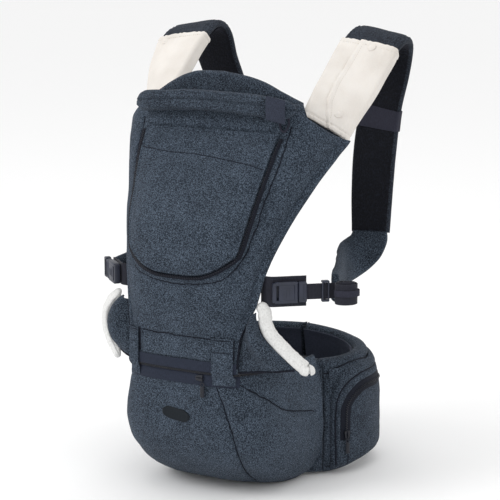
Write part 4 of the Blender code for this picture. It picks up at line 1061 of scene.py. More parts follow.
# painted shade: dark tube along the flap's lower seam
shade_cord("flap_cover", np.array(FLAP_SEAMS[0], float) + V3(0, -0.0070, 0), 0.0006)
sew("flap_cover", FLAP_SEAMS[0], side=0.0026, outward=V3(0, -1, 0))

P, S, T, Zf = flap_grid(0.006, 0.4500, ends(60, 0.17, 0.0008), ends(60, 0.15, 0.0008))
slab("vent_window", P, 0.0020 + 0.0002 * fbm(P, 60, 8), 0.0009, "spacer_mesh", "carrier_panel", "vent_mesh", "dark_mesh",
     toward=V3(0, -1, 0))

u = [(float(herm(FZ, FW, z)), z) for z in np.linspace(0.4635, 0.335, 40)]
for k in range(40, 0, -1):
    q = 0.297 + 0.026 * (k / 40.0) ** 4
    u.append((k / 40.0 * float(herm(FZ, FW, q)), q))
u += [(0.0, 0.297)] + [(-x, z) for x, z in reversed(u)]
u = np.array(u)
t = np.gradient(u, axis=0)
t /= np.linalg.norm(t, axis=1, keepdims=True)
nn = np.column_stack([-t[:, 1], t[:, 0]])
if nn[len(nn) // 2][1] > 0:
    nn = -nn
zc = u + nn * 0.0040
# the dark zip tape is drawn wider on the left: partly the real tape, partly painted shadow of the gap beside the flap
left = smooth((-zc[:, 0] - 0.02) / 0.05)
half = 0.0024 + 0.0016 * left
cols = np.linspace(-1, 1, 11)
G = zc[:, None, :] + nn[:, None, :] * (half[:, None] * cols[None, :])[..., None]
P = panel_pt(G[..., 0], G[..., 1])
f = 0.0024 + 0.0014 * np.exp(-((cols + 0.15) / 0.30) ** 2)[None, :] * np.ones((len(zc), 1))
slab("flap_zip", P, f, 0.0008, "tape_dark", "carrier_panel", "flap_zip_tape", "zip_tape", toward=V3(0, -1, 0))
joined("flap_zip_teeth", teeth_rows("flap_zip", panel_pt(*(zc - nn * 0.0005).T) + V3(0, -0.003, 0), 0.0017, (0.0011, 0.0020, 0.0008)),
       "zipper", "carrier_panel")

# ------------------------------------------------- rolled hood and its holders
C = spline([(-0.1170, -0.1145, 0.5000), (-0.0850, -0.1285, 0.5050), (-0.0400, -0.1310, 0.5085), (0.0, -0.1320, 0.5095),
            (0.0400, -0.1310, 0.5085), (0.0850, -0.1285, 0.5050), (0.1170, -0.1145, 0.5000)], 14)
L = np.concatenate([[0], np.cumsum(np.linalg.norm(np.diff(C, axis=0), axis=1))])
C = np.column_stack([np.interp(ends(96, L[-1], 0.012) * L[-1], L, C[:, k]) for k in range(3)])
T = np.gradient(C, axis=0)
T /= np.linalg.norm(T, axis=1, keepdims=True)
W = np.array([0, 0, 1.0]) - T * T[:, 2:3]
W /= np.linalg.norm(W, axis=1, keepdims=True)
NN = np.cross(W, T)
NN = np.where(NN[:, 1:2] > 0, -NN, NN)
dist = np.minimum(np.arange(len(C)), len(C) - 1 - np.arange(len(C)))
arc = np.concatenate([[0], np.cumsum(np.linalg.norm(np.diff(C, axis=0), axis=1))])
e = np.minimum(arc, arc[-1] - arc)
k = np.sqrt(np.clip(1 - (1 - np.clip(e / 0.022, 0, 1)) ** 2, 0.015, 1))
th = np.linspace(0, 2 * math.pi, 65)[:-1]
rings = []
for i in range(len(C)):
    # flattened roll: rounder above, a folded lip in front near the lower edge
    c_, s2 = np.cos(th), np.sin(th)
    h = 0.0134 * np.sign(s2) * np.abs(s2) ** 0.82 - 0.0022
    d_ = 0.0088 * np.sign(c_) * np.abs(c_) ** 0.90
    d_ = d_ + 0.0020 * np.exp(-((s2 + 0.55) / 0.30) ** 2) * (c_ > 0) - 0.0030 * np.exp(-((s2 - 0.10) / 0.11) ** 2) * (c_ > 0)
    d_ = d_ - 0.0010 * np.exp(-((s2 - 0.62) / 0.10) ** 2) * (c_ > 0)
    rings.append(C[i] + np.outer(h, W[i]) * k[i] + np.outer(d_, NN[i]) * (0.35 + 0.65 * k[i]))
R = np.array(rings)
rad = R - C[:, None, :]
rad /= np.maximum(np.linalg.norm(rad, axis=2, keepdims=True), 1e-9)
ax = np.stack([R[..., 0] * 26, R[..., 1] * 60, R[..., 2] * 110], -1)
R = R + rad * (0.0010 * fbm(ax, 1.0, 12, 2) * k[:, None])[..., None]
loft("hood_roll", R, "melange_deep", "carrier_panel", "rolled_hood", "melange_fabric")
sew("hood_roll", C + NN * 0.010 + W * -0.0068, outward=V3(0, -1, 0))

tab = []
for x in np.linspace(0.0885, 0.1105, 14):
    y0, z0 = float(np.interp(x, C[:, 0], C[:, 1])), float(np.interp(x, C[:, 0], C[:, 2]))
    tab.append([V3(x, y0 - 0.0128 - 0.0016 * math.cos(v * 1.35), z0 - 0.0018 + 0.0150 * v - 0.10 * (x - 0.0995)) for v in np.linspace(-1, 1, 16)])
slab("hood_holder", np.array(tab), 0.0009, -0.0006, "lining", "carrier_panel", "hood_tab", "webbing", toward=V3(0, -1, 0))
loop = spline([(0.0985, 0.4925), (0.0965, 0.4850), (0.0985, 0.4765), (0.1030, 0.4725), (0.1070, 0.4770), (0.1075, 0.4850), (0.1045, 0.4925)], 6)
joined("hood_loop", [tube_of([panel_pt(x, z) + V3(0, -0.0030, 0) for x, z in loop], 0.0013, 8)], "elastic", "carrier_panel",
       "hood_elastic_loop", "webbing")

# head support: soft crowned pad with a sewn edge
HY, HZ = -0.0880, 0.4985
xs = (ends(90, 0.224, 0.006) - 0.5) * 0.224
vs = ends(34, 0.043, 0.006)
X, Vv = np.meshgrid(xs, vs, indexing="ij")
ZTp = herm([0, 0.035, 0.056, 0.080, 0.100, 0.112], [0.542, 0.541, 0.536, 0.525, 0.513, 0.5060], np.abs(X))
ZTp = ZTp - 0.0045 * np.clip(X / 0.04, 0, 1) * np.clip((0.112 - X) / 0.03, 0, 1)
P = np.stack([X, HY - 0.004 - 0.10 * (ZTp - HZ) * Vv + 0.45 * X * X, HZ + (ZTp - HZ) * Vv], -1)
N = grid_normals(P, V3(0, -1, 0))
top = np.array([[xs[i], P[i, -1, 1], P[i, -1, 2] - 0.0065] for i in range(6, len(xs) - 6)])
h = 0.0058 + 0.0024 * np.sin(np.pi * np.clip(Vv, 0.02, 0.98)) + seams(P, [top], 0.0011, 0.0015, 0.0006, 0.010) + 0.0006 * fbm(P, 30, 14)
slab("head_pad", P, h, -h, "melange_deep", "head_support_body", "head_support", "melange_fabric", N=N)
sew("head_pad", top, side=0.0, outward=V3(0, -1, 0))


# ---------------------------------------------------------------- both sides
def mir(p, s):
    p = np.array(p, float)
    p[..., 0] *= s
    return p


D3 = V3(0.7507, 0.6607, 0.0)
N3 = V3(0.6607, -0.7507, 0.0)
Z3 = V3(0, 0, 1)
O3 = V3(0.100, -0.180, 0.277)
STRAP = [
    (0.1180, -0.0640, 0.4500, 0.66, 0.75, -0.10, 0.060),
    (0.1235, -0.0330, 0.4840, 0.76, 0.62, -0.14, 0.066),
    (0.1290, 0.0000, 0.5160, 0.90, 0.35, -0.17, 0.072),
    (0.1340, 0.0340, 0.5480, 0.97, 0.15, -0.17, 0.077),
    (0.1360, 0.0620, 0.5700, 0.98, 0.00, -0.17, 0.079),
    (0.1360, 0.0900, 0.5780, 0.98, 0.00, -0.17, 0.078),
    (0.1330, 0.1130, 0.5660, 0.98, 0.00, -0.16, 0.072),
    (0.1270, 0.1260, 0.5310, 0.99, 0.00, -0.10, 0.062),
    (0.1140, 0.1290, 0.4800, 1.00, 0.00, -0.04, 0.062),
    (0.1080, 0.1250, 0.4200, 1.00, 0.00, 0.00, 0.064),
    (0.1080, 0.1180, 0.3650, 1.00, 0.00, 0.00, 0.062),
    (0.1110, 0.1090, 0.3090, 1.00, 0.00, 0.05, 0.057),
]
LEAN = {"right": [0.0] * 12,
        "left": [0.003, 0.008, 0.013, 0.015, 0.015, 0.015, 0.015, 0.014, 0.011, 0.007, 0.003, 0.0]}
GUARD_H = {"right": 0.0390, "left": 0.0290}
WING = {
    "right": [
        (0.1110, 0.1088, 0.3030, 1.00, 0.00, 0.05, 0.054),
        (0.1100, 0.1078, 0.2975, 0.99, 0.00, -0.10, 0.054),
        (0.1068, 0.1030, 0.2893, 0.90, -0.05, -0.42, 0.054),
        (0.1016, 0.0900, 0.2810, 0.68, -0.05, -0.72, 0.053),
        (0.1005, 0.0660, 0.2750, 0.40, 0.00, -0.92, 0.052),
        (0.1097, 0.0300, 0.2735, 0.15, 0.00, -1.00, 0.050),
        (0.1288, -0.0150, 0.2750, 0.00, 0.00, -1.00, 0.047),
        (0.1501, -0.0620, 0.2765, 0.00, 0.00, -1.00, 0.042),
        (0.1715, -0.1090, 0.2780, 0.00, 0.00, -1.00, 0.036),
    ],
    "left": [
        (0.1110, 0.1088, 0.3030, 1.00, 0.00, 0.05, 0.054),
        (0.1114, 0.1074, 0.2975, 0.98, 0.00, 0.15, 0.053),
        (0.1180, 0.1035, 0.2880, 0.85, 0.00, 0.50, 0.052),
        (0.1330, 0.0870, 0.2810, 0.50, 0.00, 0.86, 0.049),
        (0.1430, 0.0600, 0.2790, 0.20, 0.00, 0.98, 0.046),
        (0.1490, 0.0150, 0.2780, 0.00, 0.00, 1.00, 0.042),
        (0.1500, -0.0400, 0.2770, 0.00, 0.00, 1.00, 0.038),
        (0.1510, -0.0880, 0.2750, 0.00, 0.00, 1.00, 0.032),
        (0.1545, -0.1220, 0.2740, 0.00, 0.00, 1.00, 0.026),
    ],
}
WEB_END = {"right": 0.1060, "left": 0.0860}
BW = 0.0270


def frames(C, Wd):
    T = np.gradient(C, axis=0)
    T /= np.linalg.norm(T, axis=1, keepdims=True)
    W = Wd - T * np.sum(Wd * T, axis=1, keepdims=True)
    W /= np.linalg.norm(W, axis=1, keepdims=True)
    return T, W, np.cross(W, T)


def along(rows_, per, n, lo=0.0, hi=1.0, h=0.004):
    """rows of a strap, evenly spaced in length between the shares lo and hi, finer at both ends"""
    S = spline(rows_, per)
    d = np.concatenate([[0], np.cumsum(np.linalg.norm(np.diff(S[:, :3], axis=0), axis=1))])
    a, b = lo * d[-1], hi * d[-1]
    q = a + (b - a) * ends(n, b - a, h)
    return np.column_stack([np.interp(q, d, S[:, k]) for k in range(S.shape[1])]), q


def share(rows_, idx, per=2):
    """the share of the length at which a row of the CAD's own spline lies"""
    S = spline(rows_, per)
    d = np.concatenate([[0], np.cumsum(np.linalg.norm(np.diff(S[:, :3], axis=0), axis=1))])
    return d[idx] / d[-1]


def sleeve(name, S, out0, out1, grow, wall, mat, body, rep, slot, height=None, r=0.0046, n=108, q=None, end=0.0022):
    """open tube of cloth round a strap, from the offset out0 to out1"""
    T, W, N = frames(S[:, :3], S[:, 3:6])
    rings, nrm, xs_, ys_ = [], [], [], []
    for i in range(len(S)):
        wd = S[i, 6] + 2 * grow
        sec = dense(np.array(rrect(wd, out1 - out0, r, 6, 0.0, (out0 + out1) / 2)), n)
        rings.append(S[i, :3] + np.outer(sec[:, 0], W[i]) + np.outer(sec[:, 1], N[i]))
        cx = np.clip(sec[:, 0], -(wd / 2 - r), wd / 2 - r)
        cy = np.clip(sec[:, 1], out0 + r, out1 - r)
        v = np.column_stack([sec[:, 0] - cx, sec[:, 1] - cy])
        v /= np.maximum(np.linalg.norm(v, axis=1, keepdims=True), 1e-9)
        nrm.append(np.outer(v[:, 0], W[i]) + np.outer(v[:, 1], N[i]))
        xs_.append(sec[:, 0] / wd)
        ys_.append(v[:, 1])
    R, NR, X, Y = np.array(rings), np.array(nrm), np.array(xs_), np.array(ys_)
    h = height(R, X, Y, q) if height else np.zeros(R.shape[:2])
    girth = np.linalg.norm(R - np.roll(R, 1, axis=1), axis=2).sum(axis=1)
    FLAT[name] = (float(girth.max()), float(q[-1] - q[0]), float(girth.mean() * (q[-1] - q[0])))
    e = np.minimum(q - q[0], q[-1] - q)
    k = np.sqrt(np.clip(1 - (1 - np.clip(e / end, 0, 1)) ** 2, 0, 1))
    outer = R + NR * (h - wall / 2 * (1 - k)[:, None])[..., None]
    inner = R - NR * (wall / 2 * (1 + k)[:, None])[..., None]
    return loft(name, np.concatenate([outer, inner[::-1]]), mat, body, rep, slot, closed=True)


def strap_xy(S, q, at, x, lift):
    """a point on the outer face of a strap: at is the length along it, x the share across"""
    T, W, N = frames(S[:, :3], S[:, 3:6])
    g = lambda A: np.array([np.interp(at, q, A[:, k]) for k in range(3)])
    w = np.interp(at, q, S[:, 6])
    return g(S[:, :3]) + g(W) * x * w + g(N) * lift, g(N), g(W), g(T)


for side, s in (("right", 1.0), ("left", -1.0)):
    # ------------------------------------------------------ gusset and cuff
    nu, nv = 60, 44
    tt = ends(nu, 0.11, 0.0016)
    vv = ends(nv, 0.05, 0.0016)
    z = 0.2470 - 0.0735 * tt
    w, ye = herm(WZ, WW, z), herm(WZ, WE, z)
    E = np.stack([w + 0.0016, ye + 0.0014, z], -1)
    def reach(u):
        # the right opening stands wide; the left one is drawn in again at the bottom
        if s > 0:
            return 0.0640 * u ** 1.25, 0.0290 * u ** 1.25
        v = np.sin(np.pi * (0.06 + 0.80 * u ** 0.9))
        return 0.0440 * v, 0.0200 * v

    kx, ky = reach(tt)
    G = np.stack([w + 0.0030 + kx, ye + 0.0040 + ky, z + 0.0040 + 0.0020 * tt], -1)
    E = E + V3(-0.0050, 0.0042, 0.0)
    P = E[:, None, :] + (G - E)[:, None, :] * vv[None, :, None]
    bul = np.sin(np.pi * vv ** (1.7 if s > 0 else 1.3))[None, :] * (0.014 if s > 0 else 0.017) * np.sin(np.pi * np.minimum(1.0, tt * 0.9 + 0.12))[:, None]
    P = P + V3(0.15, -1.0, 0.0) * bul[..., None]
    P = mir(P, s)
    N = grid_normals(P, V3(0, -1, 0))
    root = mir(E[:1] * 0 + G[-1], s)[0]
    ang = np.arctan2(P[..., 2] - 0.255, np.abs(P[..., 0]) - 0.080)
    rad_ = np.hypot(P[..., 2] - 0.255, np.abs(P[..., 0]) - 0.080)
    crease = np.sin(ang * 11 + 0.8 * np.sin(ang * 5)) * 0.0009 * smooth(rad_ / 0.05)
    rimn = np.sin(np.pi * np.clip(vv, 0, 1))[None, :] ** 0.6
    f = 0.0014 + (crease + 0.0010 * fbm(P, 34, 41 + s, 2) + 0.0012) * rimn
    slab(f"gusset_{side}", P, f, -0.0014, "melange_deep", "carrier_panel", f"leg_gusset_{side}", "melange_fabric", N=N)
    inner_line = mir(E + (G - E) * 0.90 + V3(0.0, -0.002, 0), s)
    sew(f"gusset_{side}", inner_line, outward=V3(0, -1, 0))
    # painted shade: dark tube along the panel's side edge, for the shadow where the gusset meets the panel
    ze = np.linspace(0.2480, 0.1800, 40)
    shade_cord("panel_shell", mir(panel_pt(herm(WZ, WW, ze) * 0.992, ze), s), 0.0011, body="carrier_panel")
    # painted shadow: thick dark tube along the gusset's lower edge, for the shadow it casts on the seat
    shade_cord(f"gusset_{side}", P[-2, 4:-4] + N[-2, 4:-4] * 0.004, 0.0017)

    Co = [tuple(G[np.argmin(np.abs(tt - j))] + V3(0.0075, 0.0080, 0.0015)) for j in (0.0, 0.2, 0.4, 0.6, 0.8, 1.0)]
    if side == "left":
        t1 = np.arange(11) / 10.0
        z1 = 0.2470 - 0.0735 * t1
        k1, k2 = reach(t1)
        outer = np.stack([herm(WZ, WW, z1) + 0.0030 + k1, herm(WZ, WE, z1) + 0.0040 + k2, z1 + 0.0040 + 0.0020 * t1], -1)
        ud, tg = V3(0.88, 0.47, 0.0), np.gradient(outer, axis=0)
        tg /= np.linalg.norm(tg, axis=1, keepdims=True)
        off = 0.0116 * (np.outer(np.maximum(-tg[:, 2], 0.80 - 2.5 * np.arange(11) / 11), ud)
                        + np.outer(np.minimum(tg @ ud, 0.35), Z3))
        Co = [tuple(outer[j] + off[j]) for j in (0, 2, 4, 6, 8, 10)]
    else:
        Co.insert(0, tuple(V3(*Co[0]) + V3(-0.0078, -0.0036, 0.0085)))
    Cc = spline(Co, 14)
    if side == "right":
        # the lower end of the cuff curls in
        tail = [Cc[-1], Cc[-1] + V3(0.0050, 0.0030, -0.0004), Cc[-1] + V3(0.0085, 0.0062, 0.0028)]
        Cc = np.vstack([Cc[:-1], spline(tail, 6)])
    Cc = resample(Cc, 0.0012)
    T, W, Nn = frames(Cc, np.tile([0.78, 0.62, 0.0], (len(Cc), 1)))
    arc = np.concatenate([[0], np.cumsum(np.linalg.norm(np.diff(Cc, axis=0), axis=1))])
    e = np.minimum(arc, arc[-1] - arc)
    kk = np.sqrt(np.clip(1 - (1 - np.clip(e / 0.0085, 0, 1)) ** 2, 0.02, 1))
    kk = kk * (0.86 + 0.14 * smooth(arc / 0.02))
    th = np.linspace(0, 2 * math.pi, 49)[:-1]
    c_, s2 = np.cos(th), np.sin(th)
    sx = 0.0090 * np.sign(c_) * np.abs(c_) ** 0.75
    sy_ = 0.0052 * np.sign(s2) * np.abs(s2) ** 0.85
    R = np.array([Cc[i] + (np.outer(sx, W[i]) + np.outer(sy_, Nn[i])) * kk[i] for i in range(len(Cc))])
    rd = R - Cc[:, None, :]
    rd /= np.maximum(np.linalg.norm(rd, axis=2, keepdims=True), 1e-9)
    seam = np.exp(-((th - math.pi) / 0.16) ** 2)[None, :] * 0.0010
    R = R + rd * (0.0007 * fbm(R, 150, 51, 3) * kk[:, None] - seam)[..., None]
    o = loft(f"cuff_{side}", mir(R, s), "fleece", "carrier_panel", f"leg_cuff_{side}", "white_fleece")

    # --------------------------------------------------- guard tab, buckles
    def at(run, n, zz):
        return mir(O3 + D3 * run + N3 * n + Z3 * zz, s)

    gh = GUARD_H[side]
    base_ = [O3 + D3 * r_ - N3 * 0.0020 for r_ in (0.0175, 0.0300, 0.0450, 0.0620)]
    run_ = resample(spline([V3(0.0950, -0.1640, 0.277), V3(0.1020, -0.1668, 0.277)] + base_, 8), 0.0014)
    R_, Zq = np.meshgrid(np.arange(len(run_)) * 0.0014, (ends(24, gh, 0.001) - 0.5) * gh, indexing="ij")
    P = run_[:, None, :] + Z3 * Zq[..., None]
    P = mir(P, s)
    wav = 0.0004 * np.sin(R_ * 260) + 0.0005 * fbm(P, 50, 61)
    slab(f"guard_tab_{side}", P, 0.0012 + wav * 0.5, -0.0012 + wav * 0.5, "web", "carrier_panel", f"side_guard_tab_{side}", "webbing",
         toward=mir(N3, s))
    for zz in (gh / 2 - 0.003, -gh / 2 + 0.003):
        sew(f"guard_tab_{side}", [at(r_, -0.0008, zz) for r_ in np.linspace(0.016, 0.060, 24)], outward=mir(N3, s), rad=0.00034)

    dd, nn3, zz3 = mir(D3, s), mir(N3, s), Z3
    parts = []
    # female half: shell with open sides, a raised middle and a hooded mouth
    for zc_ in (BW / 2 - 0.0022, -BW / 2 + 0.0022):
        parts.append(rbox(at(0.0345, 0.0048, zc_), dd, zz3, nn3, 0.0290, 0.0044, 0.0088, 0.0014, 3))
    parts.append(rbox(at(0.0195, 0.0048, 0), dd, zz3, nn3, 0.0050, BW * 0.92, 0.0080, 0.0016, 3))
    parts.append(rbox(at(0.0345, 0.0082, 0), dd, zz3, nn3, 0.0200, BW * 0.74, 0.0022, 0.0009, 3))
    parts.append(rbox(at(0.0345, 0.0014, 0), dd, zz3, nn3, 0.0260, BW * 0.84, 0.0020, 0.0008, 2))
    parts.append(rbox(at(0.0465, 0.0048, 0), dd, zz3, nn3, 0.0050, BW, 0.0092, 0.0020, 3))
    parts.append(rbox(at(0.0345, 0.0090, 0), dd, zz3, nn3, 0.0130, BW * 0.46, 0.0016, 0.0007, 3))
    for j in range(3):
        parts.append(rbox(at(0.0305 + 0.0040 * j, 0.0098, 0), dd, zz3, nn3, 0.0011, BW * 0.34, 0.0008, 0.0003, 2))
    joined(f"buckle_shell_{side}", parts, "buckle", "carrier_panel", f"side_buckle_female_{side}", "buckle_plastic")
    # male half: two sprung arms, a centre guide, and the bar block for the webbing
    bod = f"side_buckle_{side}_body"
    parts = [rbox(at(0.0553, 0.0048, 0), dd, zz3, nn3, 0.0112, BW - 0.001, 0.0084, 0.0022, 3)]
    parts.append(rbox(at(0.0400, 0.0048, 0), dd, zz3, nn3, 0.0220, 0.0040, 0.0030, 0.0008, 2))
    for q in (1, -1):
        parts.append(rbox(at(0.0415, 0.0048, q * 0.0078), dd, zz3, nn3, 0.0190, 0.0024, 0.0036, 0.0009, 2))
        parts.append(rbox(at(0.0300, 0.0048, q * 0.0082), dd, zz3, nn3, 0.0070, 0.0034, 0.0038, 0.0014, 3))
    parts.append(rbox(at(0.0575, 0.0094, 0), dd, zz3, nn3, 0.0022, BW * 0.74, 0.0012, 0.0005, 2))
    joined(f"buckle_prongs_{side}", parts, "buckle", bod, f"side_buckle_male_{side}", "buckle_plastic")
    R_, Zq = np.meshgrid(np.linspace(0.0600, WEB_END[side], 50), (ends(20, 0.02, 0.0009) - 0.5) * 0.0200, indexing="ij")
    P = mir(O3 + D3 * R_[..., None] + N3 * 0.0042 + Z3 * Zq[..., None], s)
    wv = 0.0004 * fbm(P, 70, 71)
    slab(f"web_side_{side}", P, 0.0009 + wv, -0.0009 + wv, "web", bod, f"side_webbing_{side}", "webbing", toward=nn3)
    # ladder lock: frame and two bars
    l0 = {"right": 0.0800, "left": 0.0650}[side]
    parts = []
    for q in (1, -1):
        parts.append(rbox(at(l0 + 0.00475, 0.0042, q * 0.0121), dd, zz3, nn3, 0.0095, 0.0029, 0.0074, 0.0010, 3))
    for r_, n_, hh in ((0.0009, 0.0072, 0.0018), (0.0086, 0.0072, 0.0018), (0.00475, 0.0014, 0.0016)):
        parts.append(rbox(at(l0 + r_, n_, 0), dd, zz3, nn3, 0.0020, 0.0262, hh, 0.0007, 3))
    joined(f"ladder_{side}", parts, "buckle", bod, f"ladder_lock_{side}", "buckle_plastic")

    # --------------------------------------------------------- padded strap
    rows_ = [(c[0] + d,) + c[1:] for c, d in zip(STRAP, LEAN[side])]
    S, q = along(rows_, 8, 150)
    T, W, Nn = frames(S[:, :3], S[:, 3:6])
    cr = ends(30, 0.065, 0.005) - 0.5
    P = S[:, None, :3] + W[:, None, :] * (cr[None, :, None] * S[:, 6][:, None, None])
    Ng = np.broadcast_to(Nn[:, None, :], P.shape)
    Ms = mir(P, s)
    Nm = mir(Ng, s)
    bind = [S[:, :3] + W * (sg * (S[:, 6] / 2 - 0.0060))[:, None] for sg in (1, -1)]
    bind = [mir(b_, s) for b_ in bind]
    g = np.exp(-(np.minimum(*[near(Ms, b_) for b_ in bind]) / 0.0016) ** 2)
    crest = np.exp(-((q - np.interp(0.5780, [0.5, 0.5780], [0, q[np.argmax(S[:, 2])]])) / 0.030) ** 2)[:, None]
    wr = np.sin(q * 900 + 3.0 * fbm(Ms[:, 10] * 1.0, 30, 5)) [:, None] * 0.0008 * crest
    pill = 0.0018 * (1 - (np.abs(cr) * 2) ** 4)[None, :]
    f = 0.0078 + pill - 0.0016 * g + 0.0008 * fbm(Ms, 26, 81 + s, 2) + wr
    slab(f"strap_pad_{side}", Ms, f, -0.0022, "melange_strap", "carrier_panel", f"shoulder_strap_{side}", "melange_fabric", N=Nm)
    for b_ in bind:
        sew(f"strap_pad_{side}", b_ + mir(Nn, s) * 0.007)
    j0, j1 = 3, -3
    crm = cr[(cr > -0.44) & (cr < 0.44)]
    crm = np.linspace(-0.455, 0.455, 26)
    P = S[j0:j1, None, :3] + W[j0:j1, None, :] * (crm[None, :, None] * S[j0:j1, 6][:, None, None])
    Pm = mir(P, s)
    f = -0.0045 - 0.0010 * (1 - (np.abs(crm) / 0.455) ** 6)[None, :] - 0.0004 * fbm(Pm, 40, 91)
    slab(f"strap_mesh_face_{side}", Pm, -0.0026, f, "spacer_mesh", "carrier_panel", f"strap_mesh_{side}", "dark_mesh",
         N=mir(np.broadcast_to(Nn[j0:j1, None, :], P.shape), s))

    # ------------------------------------------- cream cover with its overlap
    a, b = share(rows_, 1), 0.55 * share(rows_, 7) + 0.45 * share(rows_, 8)
    Sc, qc = along(rows_, 8, 110, a, b, 0.003)
    L_ = qc[-1] - qc[0]
    tc_ = lambda q_: (q_ - qc[0]) / L_
    folds = ([0.0, 0.10, 0.25, 0.45, 0.65, 0.85, 1.0], [0.02, -0.08, -0.185, -0.20, -0.165, -0.150, -0.145])

    def cover_height(R, X, Y, q_):
        t01 = tc_(q_)
        fx = np.interp(t01, *folds)[:, None]
        top = np.clip(Y, 0, 1)
        amt = 1.0 if side == "right" else 0.0
        over = smooth((X - fx) / 0.030 + 0.5)
        lip = np.exp(-((X - fx - 0.030) / 0.022) ** 2)
        dip = np.exp(-((X - fx + 0.018) / 0.014) ** 2)
        h = top * amt * (0.0016 * over + 0.0010 * lip - 0.0010 * dip)
        h = h + 0.0022 * (1 - np.clip(np.abs(X) * 2, 0, 1) ** 3) * np.abs(Y)
        Rm = mir(R, s)
        ax_ = np.stack([Rm[..., 0] * 18, Rm[..., 1] * 18, Rm[..., 2] * 18], -1)
        h = h + 0.0011 * fbm(ax_, 1.0, 101 + s, 2)
        hem = np.minimum(q_ - q_[0], q_[-1] - q_)[:, None]
        h = h - 0.0009 * np.exp(-((hem - 0.0068) / 0.0011) ** 2) + 0.0003 * np.exp(-((hem - 0.0034) / 0.0022) ** 2)
        # gathers near both hems
        h = h + 0.0006 * np.sin(X * 48 + 2.0 * np.sin(X * 17)) * np.exp(-hem / 0.016) * np.abs(Y)
        return np.maximum(h, -0.0010)

    keep_mir = make

    def make_m(name, verts, faces, *a_, **k_):
        return keep_mir(name, mir(np.asarray(verts, float).reshape(-1, 3), s), faces, *a_, **k_)

    make = make_m
    o = sleeve(f"strap_sleeve_{side}", Sc, -0.0068, 0.0106, 0.0020, 0.0013, "cream", "carrier_panel", f"strap_cover_{side}", "cream_cover",
               cover_height, q=qc)
    a, b = share(rows_, 16), share(rows_, 17)
    Sb, qb = along(rows_, 8, 20, a, b, 0.0008)
    sleeve(f"elastic_band_{side}", Sb, -0.0066, 0.0100, 0.0010, 0.0011, "elastic", "carrier_panel", f"strap_elastic_band_{side}", "webbing",
           lambda R, X, Y, q_: 0.0004 * fbm(R, 60, 3) - 0.0002, q=qb, end=0.0008)
    make = keep_mir
    # hems and the row of stitches along the overlap
    for hem in (qc[0] + 0.0068, qc[-1] - 0.0068):
        line_ = [strap_xy(Sc, qc, hem, x, 0.0115)[0] for x in np.linspace(-0.46, 0.46, 40)]
        sew(f"strap_sleeve_{side}", mir(line_, s), group="thread_cream", pitch=0.0034)
    if side == "right":
        line_ = [strap_xy(Sc, qc, qc[0] + v * L_, float(np.interp(v, *folds)) + 0.075, 0.0125)[0] for v in np.linspace(0.05, 0.96, 60)]
        sew(f"strap_sleeve_{side}", mir(line_, s), group="thread_cream", pitch=0.0034)
    # snap caps: a domed cap with a shallow ring
    caps = []
    for v, x in (((0.17, 0.10), (0.93, 0.10)) if side == "right" else ((0.17, 0.30), (0.93, 0.30))):
        c0, n0, w0, t0 = strap_xy(Sc, qc, qc[0] + v * L_, x, 0.0125)
        c0, n0, w0, t0 = (mir(k_, s) for k_ in (c0, n0, w0, t0))
        qq, nn_ = onto(f"strap_sleeve_{side}", [c0])
        nv_ = nn_[0] if nn_[0] @ n0 > 0 else -nn_[0]
        wv_ = np.cross(t0, nv_)
        wv_ /= np.linalg.norm(wv_)
        tv_ = np.cross(nv_, wv_)
        prof = [(0.0058, -0.0006), (0.0060, 0.0004), (0.0056, 0.0010), (0.0048, 0.0011), (0.0044, 0.0008), (0.0038, 0.0011),
                (0.0026, 0.0016), (0.0012, 0.0018), (0.0002, 0.0019)]
        vs_ = [qq[0] + (wv_ * math.cos(a_) + tv_ * math.sin(a_)) * r_ + nv_ * h_ for r_, h_ in prof
               for a_ in np.linspace(0, 2 * math.pi, 25)[:-1]]
        fs_ = [(i * 24 + j, i * 24 + (j + 1) % 24, (i + 1) * 24 + (j + 1) % 24, (i + 1) * 24 + j)
               for i in range(len(prof) - 1) for j in range(24)]
        fs_ += [tuple(range(24)), tuple((len(prof) - 1) * 24 + j for j in range(23, -1, -1))]
        caps.append((vs_, fs_))
    joined(f"snap_caps_{side}", caps, "cream", "carrier_panel", sharp=60)

    # ------------------------------------- strap end, folded and wrinkled
    Sw, qw = along([(0.1110, 0.1100, 0.3130, 1.00, 0.00, 0.05, 0.050)] + WING[side], 8, 110, 0.0, 1.0, 0.004)
    T, W, Nn = frames(Sw[:, :3], Sw[:, 3:6])
    cr2 = ends(30, 0.048, 0.004) - 0.5
    P = Sw[:, None, :3] + W[:, None, :] * (cr2[None, :, None] * Sw[:, 6][:, None, None])
    Pm = mir(P, s)
    Nm = mir(np.broadcast_to(Nn[:, None, :], P.shape), s)
    tw = (qw - qw[0]) / (qw[-1] - qw[0])
    fold = -0.0034 * np.exp(-((cr2[None, :] - 0.06 - 0.10 * np.sin(tw * 3)[:, None]) / 0.05) ** 2) * smooth((tw - 0.10) / 0.15)[:, None]
    wr = 0.0019 * fbm(np.stack([Pm[..., 0] * 24, Pm[..., 1] * 24, Pm[..., 2] * 70], -1), 1.0, 111 + s, 2)
    pill = 0.0016 * (1 - (np.abs(cr2) * 2) ** 4)[None, :]
    o = slab(f"strap_tail_{side}", Pm, 0.0040 + pill + fold + wr, -0.0040 - pill * 0.6 + wr * 0.5, "melange_deep", bod,
             f"strap_end_{side}", "melange_fabric", N=Nm, ride=False)
    kk = np.arange(int(len(Sw) * 0.66), int(len(Sw) * 0.93))
